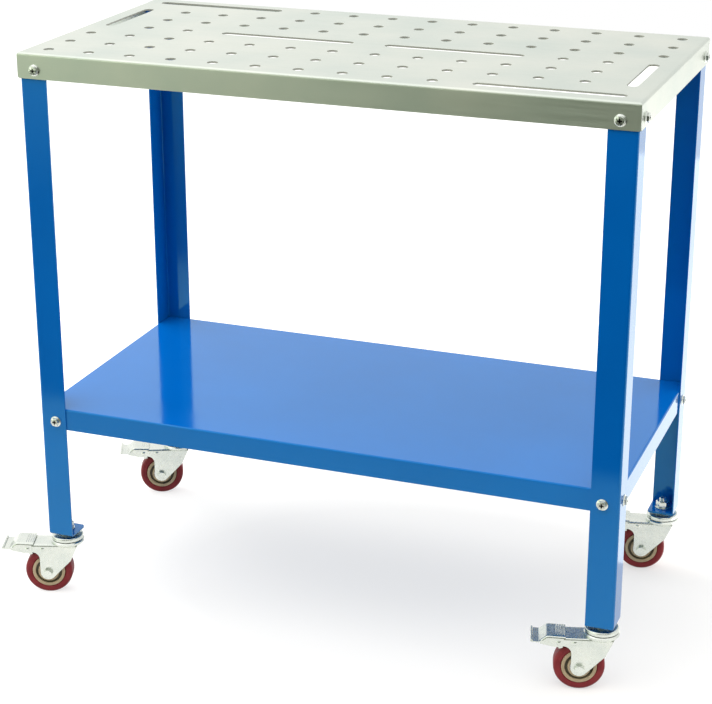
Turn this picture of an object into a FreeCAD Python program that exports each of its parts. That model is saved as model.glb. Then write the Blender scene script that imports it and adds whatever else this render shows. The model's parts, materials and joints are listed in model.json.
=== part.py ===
"""Mobile welding table: a perforated sheet top, four angle legs, a lower shelf and four braked casters.

Millimetres, +Z up, floor at Z = 0. The origin lies under the middle of the whole object's box. The front is
towards -Y. A caster is drawn with its pedal towards -X and its stem on the Z axis, then turned and set under
its leg.
"""
import FreeCAD, Part
import math
import os
import Sketcher

SIZES = {
    # Tabletop
    "top_length": (915, "tabletop along X"),
    "top_width": (455, "tabletop along Y"),
    "table_height": (872, "floor to the top surface"),
    "top_sheet": (2.5, "sheet of the tabletop"),
    "top_flange": (38, "height of the tabletop's folded edge"),
    "top_bend": (4, "outer radius of the tabletop's folds"),
    "flange_corner": (3, "rounding of a folded edge's lower corner"),
    "seam_gap": (1, "slit where two folded edges meet"),
    "hole_pitch": (65, "grid of the fixture holes"),
    "hole_bore": (16, "diameter of a fixture hole"),
    "hole_margin": (32, "least distance from a hole's centre to the edge"),
    "slot_width": (16, "width of a fixture slot"),
    # Legs
    "leg_face": (42, "width of each face of a leg"),
    "leg_sheet": (2, "sheet of a leg"),
    "leg_bend": (4, "outer radius of a leg's fold"),
    "leg_top_gap": (5, "leg's end below the top's sheet"),
    "foot_sheet": (3, "thickness of the foot plate"),
    "foot_bend": (3, "outer radius of the fold at the foot"),
    "foot_corner": (5, "rounding of the foot plate's free corner"),
    # Lower shelf
    "shelf_height": (320, "floor to the shelf's surface"),
    "shelf_sheet": (1.5, "sheet of the shelf"),
    "shelf_flange": (34, "height of the shelf's folded edge"),
    "shelf_bend": (2.5, "outer radius of the shelf's folds"),
    "shelf_corner": (3, "rounding of the shelf's upright corners"),
    # Frame bolts and nuts
    "bolt_thread": (8, "thread of the frame bolts"),
    "bolt_room": (0.8, "hole diameter over the thread"),
    "bolt_length": (16, "bolt below its head"),
    "bolt_flange": (17, "diameter of a bolt's or nut's flange"),
    "bolt_rim": (1.6, "thickness of that flange"),
    "bolt_edge": (0.8, "upright edge of a bolt's flange"),
    "bolt_skirt": (2.4, "height where that flange meets the hexagon"),
    "bolt_across": (12, "hexagon of a bolt or nut across flats"),
    "bolt_head": (5.5, "height of a bolt's head"),
    "recess_length": (6.5, "arm to arm of the cross recess"),
    "recess_width": (1.7, "width of an arm of the cross recess"),
    "recess_depth": (1.8, "depth of the cross recess"),
    "nut_height": (8, "height of a frame nut"),
    "thread_play": (0.03, "radial play of a nut on its thread"),
    "thread_bevel": (1, "bevel at a thread's end"),
    "bolt_inset": (27.5, "bolt from the tabletop's corner"),
    "top_bolt_drop": (25, "top bolt below the top surface"),
    "shelf_bolt_drop": (21, "shelf bolt below the shelf's surface"),
    # Caster stem
    "stem_thread": (12, "thread of a caster's stem"),
    "stem_inset": (24, "stem from the tabletop's edges"),
    "stem_room": (1, "foot hole diameter over the stem"),
    "stem_end": (5, "stem above its nut"),
    "stem_nut_across": (19, "stem nut across flats"),
    "stem_nut_height": (10, "height of the stem nut"),
    "jam_nut_height": (5, "height of the jam nut under the foot"),
    "washer_width": (24, "diameter of the stem's washer"),
    "washer_sheet": (2.5, "thickness of the stem's washer"),
    # Swivel head
    "swivel_front_left": (19, "pedal turned to the front, degrees"),
    "swivel_front_right": (16, "pedal turned to the front, degrees"),
    "swivel_back_left": (24, "pedal turned to the front, degrees"),
    "swivel_back_right": (12, "pedal turned to the front, degrees"),
    "race_width": (50, "diameter of the upper race"),
    "race_sheet": (3, "thickness of the upper race"),
    "race_rim": (2.5, "wall of the upper race's rim"),
    "rim_gap": (1.5, "slit between the race's rim and the crown"),
    "crown_width": (52, "diameter of the fork's crown"),
    "crown_rise": (5, "crown above the fork's web"),
    "edge_break": (1.5, "bevel on round edges of the head"),
    "ball_width": (4.9, "diameter of a swivel ball"),
    "ball_circle": (36, "diameter of the ring of balls"),
    "ball_count": (16, "balls in a swivel head"),
    "ball_play": (0.05, "play above and below a ball"),
    "pin_play": (0.05, "radial play of a turning fit"),
    "retainer_width": (30, "diameter of the retainer"),
    "retainer_height": (4, "height of the retainer"),
    "retainer_gap": (0.3, "retainer below the crown"),
    "retainer_room": (1, "recess around the retainer"),
    "peen_width": (18, "diameter of the stem's peened end"),
    "peen_height": (3, "height of the stem's peened end"),
    # Fork
    "trail": (31, "axle behind the stem"),
    "fork_sheet": (2.5, "sheet of the fork"),
    "fork_bend": (3.5, "outer radius of the fork's folds"),
    "fork_end": (12, "radius of the plates' lower ends"),
    "fork_slope": (46, "slope of the plates' back edge, degrees"),
    "fork_back": (6, "end of that slope ahead of the stem"),
    "fork_crest": (18, "plates' upper end ahead of the stem"),
    "fork_throat": (12, "radius between plate and nose"),
    "nose_radius": (6.5, "radius of the nose around the pivot"),
    "crown_room": (8.5, "space between tyre and web"),
    # Wheel
    "wheel_diameter": (75, "tyre diameter"),
    "tyre_width": (26, "tyre width"),
    "tyre_shoulder": (5, "rounding of the tyre's shoulders"),
    "core_width": (51.6, "diameter of the wheel core"),
    "core_rim": (5, "radial width of the core's rim"),
    "core_web": (16, "thickness of the core's web"),
    "rim_proud": (0.5, "core's rim beyond the tyre's side"),
    "hub_width": (33, "diameter of the core's hub"),
    "hub_proud": (2, "hub beyond the tyre's side"),
    "hub_play": (1.5, "hub to fork plate"),
    "seat_play": (0.03, "radial play of a seated piece"),
    "bearing_width": (26, "bearing diameter"),
    "bearing_depth": (8, "bearing width along the axle"),
    "bearing_lip": (1.4, "width of a bearing's outer and inner ring"),
    "shield_groove": (0.6, "shield below the bearing's face"),
    "sleeve_width": (12, "diameter of the axle sleeve"),
    "axle_thread": (8, "thread of the axle bolt"),
    "axle_across": (13, "axle bolt and nut across flats"),
    "axle_head": (5.5, "height of the axle bolt's head"),
    "axle_nut_height": (8, "height of the axle nut"),
    "axle_nut_hex": (6, "height of the axle nut's hexagon"),
    "axle_tail": (3, "axle bolt beyond its nut"),
    # Brake
    "pivot_back": (30.6, "pedal's pivot behind the axle"),
    "stop_back": (7.6, "stop rivet behind the axle"),
    "stop_drop": (7.5, "stop rivet below the web's surface"),
    "rivet_width": (5, "diameter of a rivet"),
    "rivet_head": (7.2, "diameter of a rivet's head"),
    "rivet_rise": (1.5, "height of a rivet's head"),
    "rivet_gap": (0.1, "rivet head off the pedal"),
    "pedal_sheet": (2.2, "pedal plate, measured upright"),
    "ear_sheet": (1.5, "sheet of the pedal's ears"),
    "ear_gap": (0.3, "ear to fork plate"),
    "ear_radius": (7, "radius of an ear around the pivot"),
    "ear_taper": (6, "start of an ear's taper beyond the pivot"),
    "pedal_rear": (9.6, "pedal's rear end ahead of the pivot"),
    "pedal_gap": (0.5, "pedal's rear end above the web"),
    "crest_back": (17, "pedal's crest behind the pivot"),
    "crest_rise": (1.2, "crest above the rear end"),
    "valley_back": (29.5, "pedal's valley behind the pivot"),
    "valley_drop": (9, "valley below the rear end"),
    "tip_back": (39, "pedal's tip behind the pivot"),
    "tip_rise": (2.8, "tip above the valley"),
    "hem_width": (4, "diameter of the rolled tip"),
    "rib_width": (1.8, "diameter of a tread rib"),
    "rib_sink": (0.3, "a rib's middle below the pedal's surface"),
    "rib_length": (30, "length of a tread rib"),
    "rib_pitch": (3.4, "distance between tread ribs"),
    "rib_start": (7, "first rib ahead of the pivot"),
    "rib_count": (4, "tread ribs"),
    "shoe_width": (24, "brake shoe along the axle"),
    "shoe_hub": (3.6, "radius of the shoe around the pivot"),
    "shoe_block": (6, "thickness of the shoe's block"),
    "shoe_lag": (22, "shoe short of the tyre at rest, degrees"),
    "shoe_room": (0.3, "shoe off the tyre where it is nearest"),
    "tail_sheet": (1.6, "sheet of the shoe's curled tail"),
    "tail_back": (9, "tail's end behind the pivot"),
    "tail_drop": (11.2, "tail's end below the pivot"),
    "tail_lip": (2, "lip at the tail's end"),
}

# Side along X, side along Y and swivel angle of each corner
CORNERS = {
    "front_left": (-1, -1, "swivel_front_left"),
    "front_right": (1, -1, "swivel_front_right"),
    "back_left": (-1, 1, "swivel_back_left"),
    "back_right": (1, 1, "swivel_back_right"),
}

# Columns or rows that the fixture slots take up, counted from the left or the front
BACK_SLOT = 4
CENTRE_SLOT_START = 4
CENTRE_SLOT_END = 7

# A distance beyond every piece of a caster, and the tolerance for finding edges
OUTSIDE = 200
NEAR = 0.01

doc = FreeCAD.newDocument("welding_table")
sheet = doc.addObject("Spreadsheet::Sheet", "sizes")
nodes = []


class Size:
    """A size with its value and the sheet formula that it comes from."""

    def __init__(self, value, text):
        self.value = value
        self.text = text

    def __add__(self, other):
        other = as_size(other)
        return Size(self.value + other.value, "(%s + %s)" % (self.text, other.text))

    def __sub__(self, other):
        other = as_size(other)
        return Size(self.value - other.value, "(%s - %s)" % (self.text, other.text))

    def __mul__(self, other):
        other = as_size(other)
        return Size(self.value * other.value, "(%s * %s)" % (self.text, other.text))

    def __truediv__(self, other):
        other = as_size(other)
        return Size(self.value / other.value, "(%s / %s)" % (self.text, other.text))

    def __radd__(self, other):
        return as_size(other) + self

    def __rsub__(self, other):
        return as_size(other) - self

    def __rmul__(self, other):
        return as_size(other) * self

    def __neg__(self):
        return as_size(-1) * self


def as_size(number):
    """A plain number as a Size."""
    if isinstance(number, Size):
        return number
    return Size(float(number), "(%r)" % float(number))


def cosine(angle):
    """Cosine of an angle in degrees."""
    return Size(math.cos(math.radians(angle.value)), "cos(%s * 1 deg)" % angle.text)


def sine(angle):
    """Sine of an angle in degrees."""
    return Size(math.sin(math.radians(angle.value)), "sin(%s * 1 deg)" % angle.text)


def root(square):
    """Square root of a Size."""
    return Size(math.sqrt(square.value), "sqrt(%s)" % square.text)


def fill_sheet():
    """Write the driving sizes and return them by name."""
    found = {}
    for row, (name, (value, meaning)) in enumerate(SIZES.items(), start=1):
        sheet.set("A%d" % row, meaning)
        sheet.set("B%d" % row, str(value))
        sheet.setAlias("B%d" % row, name)
        found[name] = Size(float(value), "sizes.%s" % name)
    doc.recompute()
    return found


def bind(thing, path, size):
    """Tie a property to the sheet."""
    thing.setExpression(path, as_size(size).text)


def new_body(label):
    """An empty body that may hold several solids."""
    body = doc.addObject("PartDesign::Body", label)
    body.Label = label
    body.AllowCompound = True
    return body


def origin_part(body, role):
    """An origin plane or axis of a body."""
    return [part for part in body.Origin.OriginFeatures if part.Role == role][0]


def sketch_on(body, plane, shift=(0, 0, 0)):
    """A sketch on an origin plane, shifted in the sketch's own directions."""
    sketch = body.newObject("Sketcher::SketchObject", body.Label + "_sketch")
    sketch.AttachmentSupport = [(origin_part(body, plane), "")]
    sketch.MapMode = "FlatFace"
    for axis, size in zip("xyz", shift):
        bind(sketch, "AttachmentOffset.Base." + axis, size)
    return sketch


def hold(sketch, constraint, size):
    """Add a constraint whose value comes from the sheet."""
    index = sketch.addConstraint(constraint)
    bind(sketch, "Constraints[%d]" % index, size)


def pin_point(sketch, curve, point, x, y):
    """Hold a point of a curve at x, y."""
    hold(sketch, Sketcher.Constraint("DistanceX", curve, point, as_size(x).value), x)
    hold(sketch, Sketcher.Constraint("DistanceY", curve, point, as_size(y).value), y)


def arc_between(start, end, radius, turn):
    """The short arc from start to end: turn is 1 to the left and -1 to the right."""
    across = end - start
    height = math.sqrt(max(radius ** 2 - (across.Length / 2) ** 2, 0))
    left = FreeCAD.Vector(-across.y, across.x, 0).normalize()
    centre = (start + end) * 0.5 + left * height * turn
    first, last = (start, end) if turn > 0 else (end, start)
    angles = [math.atan2(p.y - centre.y, p.x - centre.x) for p in (first, last)]
    if angles[1] < angles[0]:
        angles[1] += 2 * math.pi
    return Part.ArcOfCircle(Part.Circle(centre, FreeCAD.Vector(0, 0, 1), radius), *angles)


def trace(sketch, corners):
    """Draw a closed outline through corners.

    A corner is (x, y), reached by a line, or (x, y, radius, turn), reached by an arc.
    """
    points = [FreeCAD.Vector(as_size(c[0]).value, as_size(c[1]).value, 0) for c in corners]
    base = sketch.GeometryCount
    ends = []
    for index, corner in enumerate(corners):
        start, end = points[index - 1], points[index]
        if len(corner) == 2:
            sketch.addGeometry(Part.LineSegment(start, end), False)
            ends.append((1, 2))
        else:
            sketch.addGeometry(arc_between(start, end, corner[2].value, corner[3]), False)
            ends.append((1, 2) if corner[3] > 0 else (2, 1))
    for index, corner in enumerate(corners):
        following = (index + 1) % len(corners)
        joint = (base + index, ends[index][1], base + following, ends[following][0])
        sketch.addConstraint(Sketcher.Constraint("Coincident", *joint))
        pin_point(sketch, base + index, ends[index][1], corner[0], corner[1])
        if len(corner) > 2:
            hold(sketch, Sketcher.Constraint("Radius", base + index, corner[2].value), corner[2])


def add_circle(sketch, x, y, diameter):
    """Draw a circle at x, y."""
    centre = FreeCAD.Vector(as_size(x).value, as_size(y).value, 0)
    curve = sketch.addGeometry(Part.Circle(centre, FreeCAD.Vector(0, 0, 1), diameter.value / 2), False)
    hold(sketch, Sketcher.Constraint("Diameter", curve, diameter.value), diameter)
    pin_point(sketch, curve, 3, x, y)


def rectangle(sketch, low_x, low_y, high_x, high_y):
    """Draw an upright rectangle."""
    trace(sketch, [(low_x, low_y), (high_x, low_y), (high_x, high_y), (low_x, high_y)])


def hexagon(sketch, x, y, across):
    """Draw a hexagon with two flats along the sketch's X direction."""
    flat = across / 2
    half_side = across / (2 * root(as_size(3)))
    steps = [(2, 0), (1, 1), (-1, 1), (-2, 0), (-1, -1), (1, -1)]
    trace(sketch, [(x + half_side * along, y + flat * up) for along, up in steps])


def obround(sketch, start, end, width):
    """Draw a slot between two end centres along X or along Y."""
    half = width / 2
    if start[1] is end[1]:
        (left, y), (right, _) = start, end
        trace(sketch, [
            (right, y - half),
            (right + half, y, half, 1),
            (right, y + half, half, 1),
            (left, y + half),
            (left - half, y, half, 1),
            (left, y - half, half, 1),
        ])
    else:
        (x, low), (_, high) = start, end
        trace(sketch, [
            (x + half, high),
            (x, high + half, half, 1),
            (x - half, high, half, 1),
            (x - half, low),
            (x, low - half, half, 1),
            (x + half, low, half, 1),
        ])


def settle(feature, base_volume=None):
    """Recompute, and stop if a cut removed nothing."""
    doc.recompute()
    if base_volume is not None and feature.Shape.Volume > base_volume - NEAR:
        raise RuntimeError("%s removes nothing" % feature.Label)
    return feature


def pad(body, sketch, length, both_sides=False):
    """Add a sketch's area over a length, along the sketch's normal or to both sides."""
    feature = body.newObject("PartDesign::Pad", body.Label + "_pad")
    feature.Profile = sketch
    bind(feature, "Length", length)
    if both_sides:
        feature.SideType = "Symmetric"
    return settle(feature)


def pocket(body, sketch, length, both_sides=False, upwards=False):
    """Cut a sketch's area over a length, against the sketch's normal, along it or to both sides."""
    base_volume = body.Shape.Volume
    feature = body.newObject("PartDesign::Pocket", body.Label + "_pocket")
    feature.Profile = sketch
    feature.Refine = False
    feature.Reversed = upwards
    bind(feature, "Length", length)
    if both_sides:
        feature.SideType = "Symmetric"
    return settle(feature, base_volume)


def revolve(body, sketch):
    """Turn a sketch's area about the sketch's upright axis."""
    feature = body.newObject("PartDesign::Revolution", body.Label + "_turned")
    feature.Profile = sketch
    feature.ReferenceAxis = (sketch, ["V_Axis"])
    feature.Angle = 360
    return settle(feature)


def lies_at(edge, x=None, y=None, z=None):
    """Whether every point of an edge has the coordinates given."""
    box = edge.BoundBox
    spans = [(x, box.XMin, box.XMax), (y, box.YMin, box.YMax), (z, box.ZMin, box.ZMax)]
    for wanted, low, high in spans:
        if wanted is not None and max(abs(low - wanted.value), abs(high - wanted.value)) > NEAR:
            return False
    return True


def fillet(body, places, radius, length=None):
    """Round the edges that lie at each of the places, or only those of a given length."""
    base = body.Tip
    names = []
    for number, edge in enumerate(base.Shape.Edges, start=1):
        fits = length is None or abs(edge.Length - length.value) < NEAR
        if fits and any(lies_at(edge, **spot) for spot in places):
            names.append("Edge%d" % number)
    if not names:
        raise RuntimeError("no edge to round on %s" % body.Label)
    feature = body.newObject("PartDesign::Fillet", body.Label + "_fillet")
    feature.Base = (base, names)
    bind(feature, "Radius", radius)
    return settle(feature)


def place(thing, x, y, z=0, turn=None):
    """Set a sub-part in the table's frame, with an optional turn about Z."""
    if turn is not None:
        thing.Placement = FreeCAD.Placement(FreeCAD.Vector(), FreeCAD.Rotation(FreeCAD.Vector(0, 0, 1), 1))
        bind(thing, "Placement.Rotation.Angle", turn)
    for axis, size in zip("xyz", (x, y, z)):
        bind(thing, "Placement.Base." + axis, size)
    nodes.append(thing)


def place_on_frame(thing):
    """Set a sub-part that is drawn about the table's own middle."""
    place(thing, table_x, table_y)


def place_caster_piece(thing, corner):
    """Set a caster's sub-part under its leg, turned with its swivel."""
    side, depth, angle = CORNERS[corner]
    place(thing, table_x + side * stem_x, table_y + depth * stem_y, turn=given[angle])


def group(label, piece, spots):
    """One sub-part of equal pieces: a spot is (x, y, z, turn that sets the piece's Z axis)."""
    copies = []
    for x, y, z, turn in spots:
        copy = doc.addObject("App::Link", label + "_copy")
        copy.LinkedObject = piece
        copy.Placement = FreeCAD.Placement(FreeCAD.Vector(), turn)
        for axis, size in zip("xyz", (x, y, z)):
            bind(copy, "Placement.Base." + axis, size)
        copies.append(copy)
    together = doc.addObject("Part::Compound", label)
    together.Label = label
    together.Links = copies
    place_on_frame(together)


given = fill_sheet()

# Sizes that follow from the driving ones
top_length, top_width, top_sheet = given["top_length"], given["top_width"], given["top_sheet"]
table_height, top_flange = given["table_height"], given["top_flange"]
leg_sheet, leg_face = given["leg_sheet"], given["leg_face"]
fork_sheet = given["fork_sheet"]
pin_play = given["pin_play"]

half_length = top_length / 2
half_width = top_width / 2
leg_x = half_length - top_sheet
leg_y = half_width - top_sheet
shelf_x = leg_x - leg_sheet
shelf_y = leg_y - leg_sheet
bolt_x = half_length - given["bolt_inset"]
bolt_y = half_width - given["bolt_inset"]
top_bolt_z = table_height - given["top_bolt_drop"]
shelf_bolt_z = given["shelf_height"] - given["shelf_bolt_drop"]
bolt_hole = given["bolt_thread"] + given["bolt_room"]
stem_x = half_length - given["stem_inset"]
stem_y = half_width - given["stem_inset"]

wheel_radius = given["wheel_diameter"] / 2
axle_x = -given["trail"]
axle_z = wheel_radius
tyre_half = given["tyre_width"] / 2
hub_half = tyre_half + given["hub_proud"]
fork_inside = hub_half + given["hub_play"]
fork_outside = fork_inside + fork_sheet
web_under = given["wheel_diameter"] + given["crown_room"]
web_top = web_under + fork_sheet
crown_top = web_top + given["crown_rise"]
crown_under = crown_top - fork_sheet
race_under = crown_top + given["ball_width"] + 2 * given["ball_play"]
race_top = race_under + given["race_sheet"]
caster_height = race_top + given["jam_nut_height"]
foot_top = caster_height + given["foot_sheet"]
washer_top = foot_top + given["washer_sheet"]
stem_nut_top = washer_top + given["stem_nut_height"]
stem_top = stem_nut_top + given["stem_end"]
stem_radius = given["stem_thread"] / 2
retainer_top = crown_under - given["retainer_gap"]
retainer_under = retainer_top - given["retainer_height"]
recess_radius = given["retainer_width"] / 2 + given["retainer_room"]

pivot_x = axle_x - given["pivot_back"]
pivot_z = web_top - given["nose_radius"]
rivet_radius = given["rivet_width"] / 2
ear_inside = fork_outside + given["ear_gap"]
pedal_outside = ear_inside + given["ear_sheet"]
pedal_reach = given["trail"] + given["pivot_back"] + given["tip_back"] + given["hem_width"] / 2

# The pedals and the bolt heads bound the whole object's box, whose middle is the origin
front_turn = given["swivel_front_left"]
lever_left = pedal_reach * cosine(front_turn) + pedal_outside * sine(front_turn)
lever_front = pedal_reach * sine(front_turn) + pedal_outside * cosine(front_turn)
table_x = (lever_left - given["stem_inset"] - given["bolt_head"]) / 2
table_y = (lever_front - given["stem_inset"] - given["bolt_head"]) / 2


def bore_bolt_holes(body, heights, sides=(-1, 1), depths=(-1, 1)):
    """Cut the bolt holes of the given sides at the given heights, right through the table."""
    across = sketch_on(body, "XZ_Plane")
    along = sketch_on(body, "YZ_Plane")
    for z in heights:
        for side in sides:
            add_circle(across, side * bolt_x, z, bolt_hole)
        for depth in depths:
            add_circle(along, depth * bolt_y, z, bolt_hole)
    pocket(body, across, 2 * top_width, both_sides=True)
    pocket(body, along, 2 * top_length, both_sides=True)


def sheet_tray(body, half_x, half_y, top_z, flange, wall, bend, corner=None):
    """A folded tray, open below: outer block, rounded folds and the hollow."""
    bottom = top_z - flange
    block = sketch_on(body, "XY_Plane", (0, 0, bottom))
    rectangle(block, -half_x, -half_y, half_x, half_y)
    pad(body, block, flange)
    if corner is not None:
        fillet(body, [{"x": a * half_x, "y": b * half_y} for a in (-1, 1) for b in (-1, 1)], corner)
    sides = [{"x": -half_x, "z": top_z}, {"x": half_x, "z": top_z}]
    sides += [{"y": -half_y, "z": top_z}, {"y": half_y, "z": top_z}]
    fillet(body, sides, bend)
    hollow = sketch_on(body, "XY_Plane", (0, 0, bottom))
    in_x, in_y = half_x - wall, half_y - wall
    rectangle(hollow, -in_x, -in_y, in_x, in_y)
    pocket(body, hollow, flange - wall, upwards=True)
    under = top_z - wall
    folds = [{"x": -in_x, "z": under}, {"x": in_x, "z": under}]
    folds += [{"y": -in_y, "z": under}, {"y": in_y, "z": under}]
    fillet(body, folds, bend - wall)


def fixture_grid():
    """The hole grid: counts, the slots as pairs of grid places, and the places left for holes."""
    pitch, margin = given["hole_pitch"].value, given["hole_margin"].value
    columns = int((top_length.value - 2 * margin) / pitch + NEAR) + 1
    rows = int((top_width.value - 2 * margin) / pitch + NEAR) + 1
    middle = (rows + 1) // 2
    slots = [
        ((1, middle), (1, rows - 1)),
        ((1, rows), (BACK_SLOT, rows)),
        ((CENTRE_SLOT_START, middle), (CENTRE_SLOT_END, middle)),
    ]
    taken = set()
    for (first_column, first_row), (last_column, last_row) in slots:
        for column in range(first_column, last_column + 1):
            for row in range(first_row, last_row + 1):
                taken.add((column, row))
                taken.add((columns + 1 - column, rows + 1 - row))
    places = [(column, row) for column in range(1, columns + 1) for row in range(1, rows + 1)]
    return columns, rows, slots, [spot for spot in places if spot not in taken]


def make_tabletop():
    """The folded top with its corner seams, bolt holes, slots and fixture holes."""
    body = new_body("tabletop")
    sheet_tray(body, half_length, half_width, table_height, top_flange, top_sheet, given["top_bend"])
    bottom = table_height - top_flange
    seams = sketch_on(body, "XY_Plane", (0, 0, bottom))
    for side in (-1, 1):
        for depth in (-1, 1):
            near, far = side * (leg_x - given["seam_gap"]), side * (half_length + given["seam_gap"])
            low, high = depth * leg_y, depth * (leg_y - given["seam_gap"])
            trace(seams, [(near, low), (far, low), (far, high), (near, high)])
    pocket(body, seams, top_flange - 2 * given["top_bend"], upwards=True)
    ends = [{"x": side * half_length, "z": bottom} for side in (-1, 1)]
    fillet(body, ends, given["flange_corner"], length=top_sheet)
    bore_bolt_holes(body, [top_bolt_z])

    pitch = given["hole_pitch"]
    columns, rows, slots, holes = fixture_grid()
    grid_x = [pitch * (column - (columns + 1) / 2) for column in range(columns + 1)]
    grid_y = [pitch * (row - (rows + 1) / 2) for row in range(rows + 1)]
    surface = (0, 0, table_height)
    for start, end in slots:
        slot = sketch_on(body, "XY_Plane", surface)
        turned = sketch_on(body, "XY_Plane", surface)
        width = given["slot_width"]
        obround(slot, (grid_x[start[0]], grid_y[start[1]]), (grid_x[end[0]], grid_y[end[1]]), width)
        far_start = (grid_x[columns + 1 - end[0]], grid_y[rows + 1 - end[1]])
        far_end = (grid_x[columns + 1 - start[0]], grid_y[rows + 1 - start[1]])
        obround(turned, far_start, far_end, width)
        pocket(body, slot, 2 * top_sheet)
        pocket(body, turned, 2 * top_sheet)
    bores = sketch_on(body, "XY_Plane", surface)
    for column, row in holes:
        add_circle(bores, grid_x[column], grid_y[row], given["hole_bore"])
    pocket(body, bores, 2 * top_sheet)
    place_on_frame(body)


def make_shelf():
    """The folded shelf inside the legs."""
    body = new_body("lower_shelf")
    height, flange, wall = given["shelf_height"], given["shelf_flange"], given["shelf_sheet"]
    sheet_tray(body, shelf_x, shelf_y, height, flange, wall, given["shelf_bend"], given["shelf_corner"])
    bore_bolt_holes(body, [shelf_bolt_z])
    place_on_frame(body)


def make_leg(corner):
    """An angle of folded sheet with a foot plate, bolt holes and the stem's hole."""
    side, depth, _ = CORNERS[corner]
    body = new_body(corner + "_leg")
    outer_x, outer_y = side * leg_x, depth * leg_y
    wall_x, wall_y = side * (leg_x - leg_sheet), depth * (leg_y - leg_sheet)
    free_x, free_y = side * (leg_x - leg_face), depth * (leg_y - leg_face)
    leg_top = table_height - top_sheet - given["leg_top_gap"]
    low = (0, 0, caster_height)

    angle = sketch_on(body, "XY_Plane", low)
    trace(angle, [
        (outer_x, outer_y),
        (free_x, outer_y),
        (free_x, wall_y),
        (wall_x, wall_y),
        (wall_x, free_y),
        (outer_x, free_y),
    ])
    pad(body, angle, leg_top - caster_height)
    fillet(body, [{"x": wall_x, "y": wall_y}], given["leg_bend"] - leg_sheet)
    foot = sketch_on(body, "XY_Plane", low)
    trace(foot, [(outer_x, outer_y), (free_x, outer_y), (free_x, free_y), (outer_x, free_y)])
    pad(body, foot, given["foot_sheet"])
    fillet(body, [{"x": free_x, "y": free_y}], given["foot_corner"])
    fillet(body, [{"x": outer_x, "y": outer_y}], given["leg_bend"])
    fillet(body, [{"x": outer_x, "z": caster_height}, {"y": outer_y, "z": caster_height}], given["foot_bend"])

    stem_hole = sketch_on(body, "XY_Plane", low)
    add_circle(stem_hole, side * stem_x, depth * stem_y, given["stem_thread"] + given["stem_room"])
    pocket(body, stem_hole, 2 * given["foot_sheet"], upwards=True)
    bore_bolt_holes(body, [top_bolt_z, shelf_bolt_z], sides=[side], depths=[depth])
    place_on_frame(body)


def make_bolt():
    """A hex flange bolt with a cross recess: seat at Z = 0, head upwards."""
    body = new_body("frame_bolt")
    shank, rim = given["bolt_thread"] / 2, given["bolt_flange"] / 2
    turned = sketch_on(body, "XZ_Plane")
    trace(turned, [
        (0, -given["bolt_length"]),
        (shank - given["thread_bevel"], -given["bolt_length"]),
        (shank, given["thread_bevel"] - given["bolt_length"]),
        (shank, 0),
        (rim, 0),
        (rim, given["bolt_edge"]),
        (given["bolt_across"] / 2, given["bolt_skirt"]),
        (0, given["bolt_skirt"]),
    ])
    revolve(body, turned)
    head = sketch_on(body, "XY_Plane")
    hexagon(head, as_size(0), as_size(0), given["bolt_across"])
    pad(body, head, given["bolt_head"])
    arm, half_arm = given["recess_length"] / 2, given["recess_width"] / 2
    recess = sketch_on(body, "XY_Plane", (0, 0, given["bolt_head"]))
    trace(recess, [
        (arm, -half_arm),
        (arm, half_arm),
        (half_arm, half_arm),
        (half_arm, arm),
        (-half_arm, arm),
        (-half_arm, half_arm),
        (-arm, half_arm),
        (-arm, -half_arm),
        (-half_arm, -half_arm),
        (-half_arm, -arm),
        (half_arm, -arm),
        (half_arm, -half_arm),
    ])
    pocket(body, recess, given["recess_depth"])
    return body


def make_frame_nut():
    """A hex flange nut: seat at Z = 0, body downwards."""
    body = new_body("frame_nut")
    bore = given["bolt_thread"] + 2 * given["thread_play"]
    block = sketch_on(body, "XY_Plane", (0, 0, -given["nut_height"]))
    hexagon(block, as_size(0), as_size(0), given["bolt_across"])
    pad(body, block, given["nut_height"])
    collar = sketch_on(body, "XY_Plane", (0, 0, -given["bolt_rim"]))
    add_circle(collar, 0, 0, given["bolt_flange"])
    pad(body, collar, given["bolt_rim"])
    hole = sketch_on(body, "XY_Plane")
    add_circle(hole, 0, 0, bore)
    pocket(body, hole, given["nut_height"])
    return body


def make_hex_nut(label, across, height, bore):
    """A plain hexagon nut on the XY plane."""
    body = new_body(label)
    block = sketch_on(body, "XY_Plane")
    hexagon(block, as_size(0), as_size(0), across)
    add_circle(block, 0, 0, bore)
    pad(body, block, height)
    return body


def bolt_spots(out_x, out_y, z):
    """Places of the eight bolts or nuts of one level, at the given distances from the middle."""
    about_x, about_y = FreeCAD.Vector(1, 0, 0), FreeCAD.Vector(0, 1, 0)
    spots = []
    for side in (-1, 1):
        for depth in (-1, 1):
            spots.append((side * bolt_x, depth * out_y, z, FreeCAD.Rotation(about_x, -90 * depth)))
            spots.append((side * out_x, depth * bolt_y, z, FreeCAD.Rotation(about_y, 90 * side)))
    return spots


def make_fasteners():
    """The frame's bolts and nuts, one group for each kind and level."""
    bolt, nut = make_bolt(), make_frame_nut()
    group("top_bolts", bolt, bolt_spots(half_length, half_width, top_bolt_z))
    group("top_nuts", nut, bolt_spots(shelf_x, shelf_y, top_bolt_z))
    group("shelf_bolts", bolt, bolt_spots(leg_x, leg_y, shelf_bolt_z))
    shelf_wall = given["shelf_sheet"]
    group("shelf_nuts", nut, bolt_spots(shelf_x - shelf_wall, shelf_y - shelf_wall, shelf_bolt_z))


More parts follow.
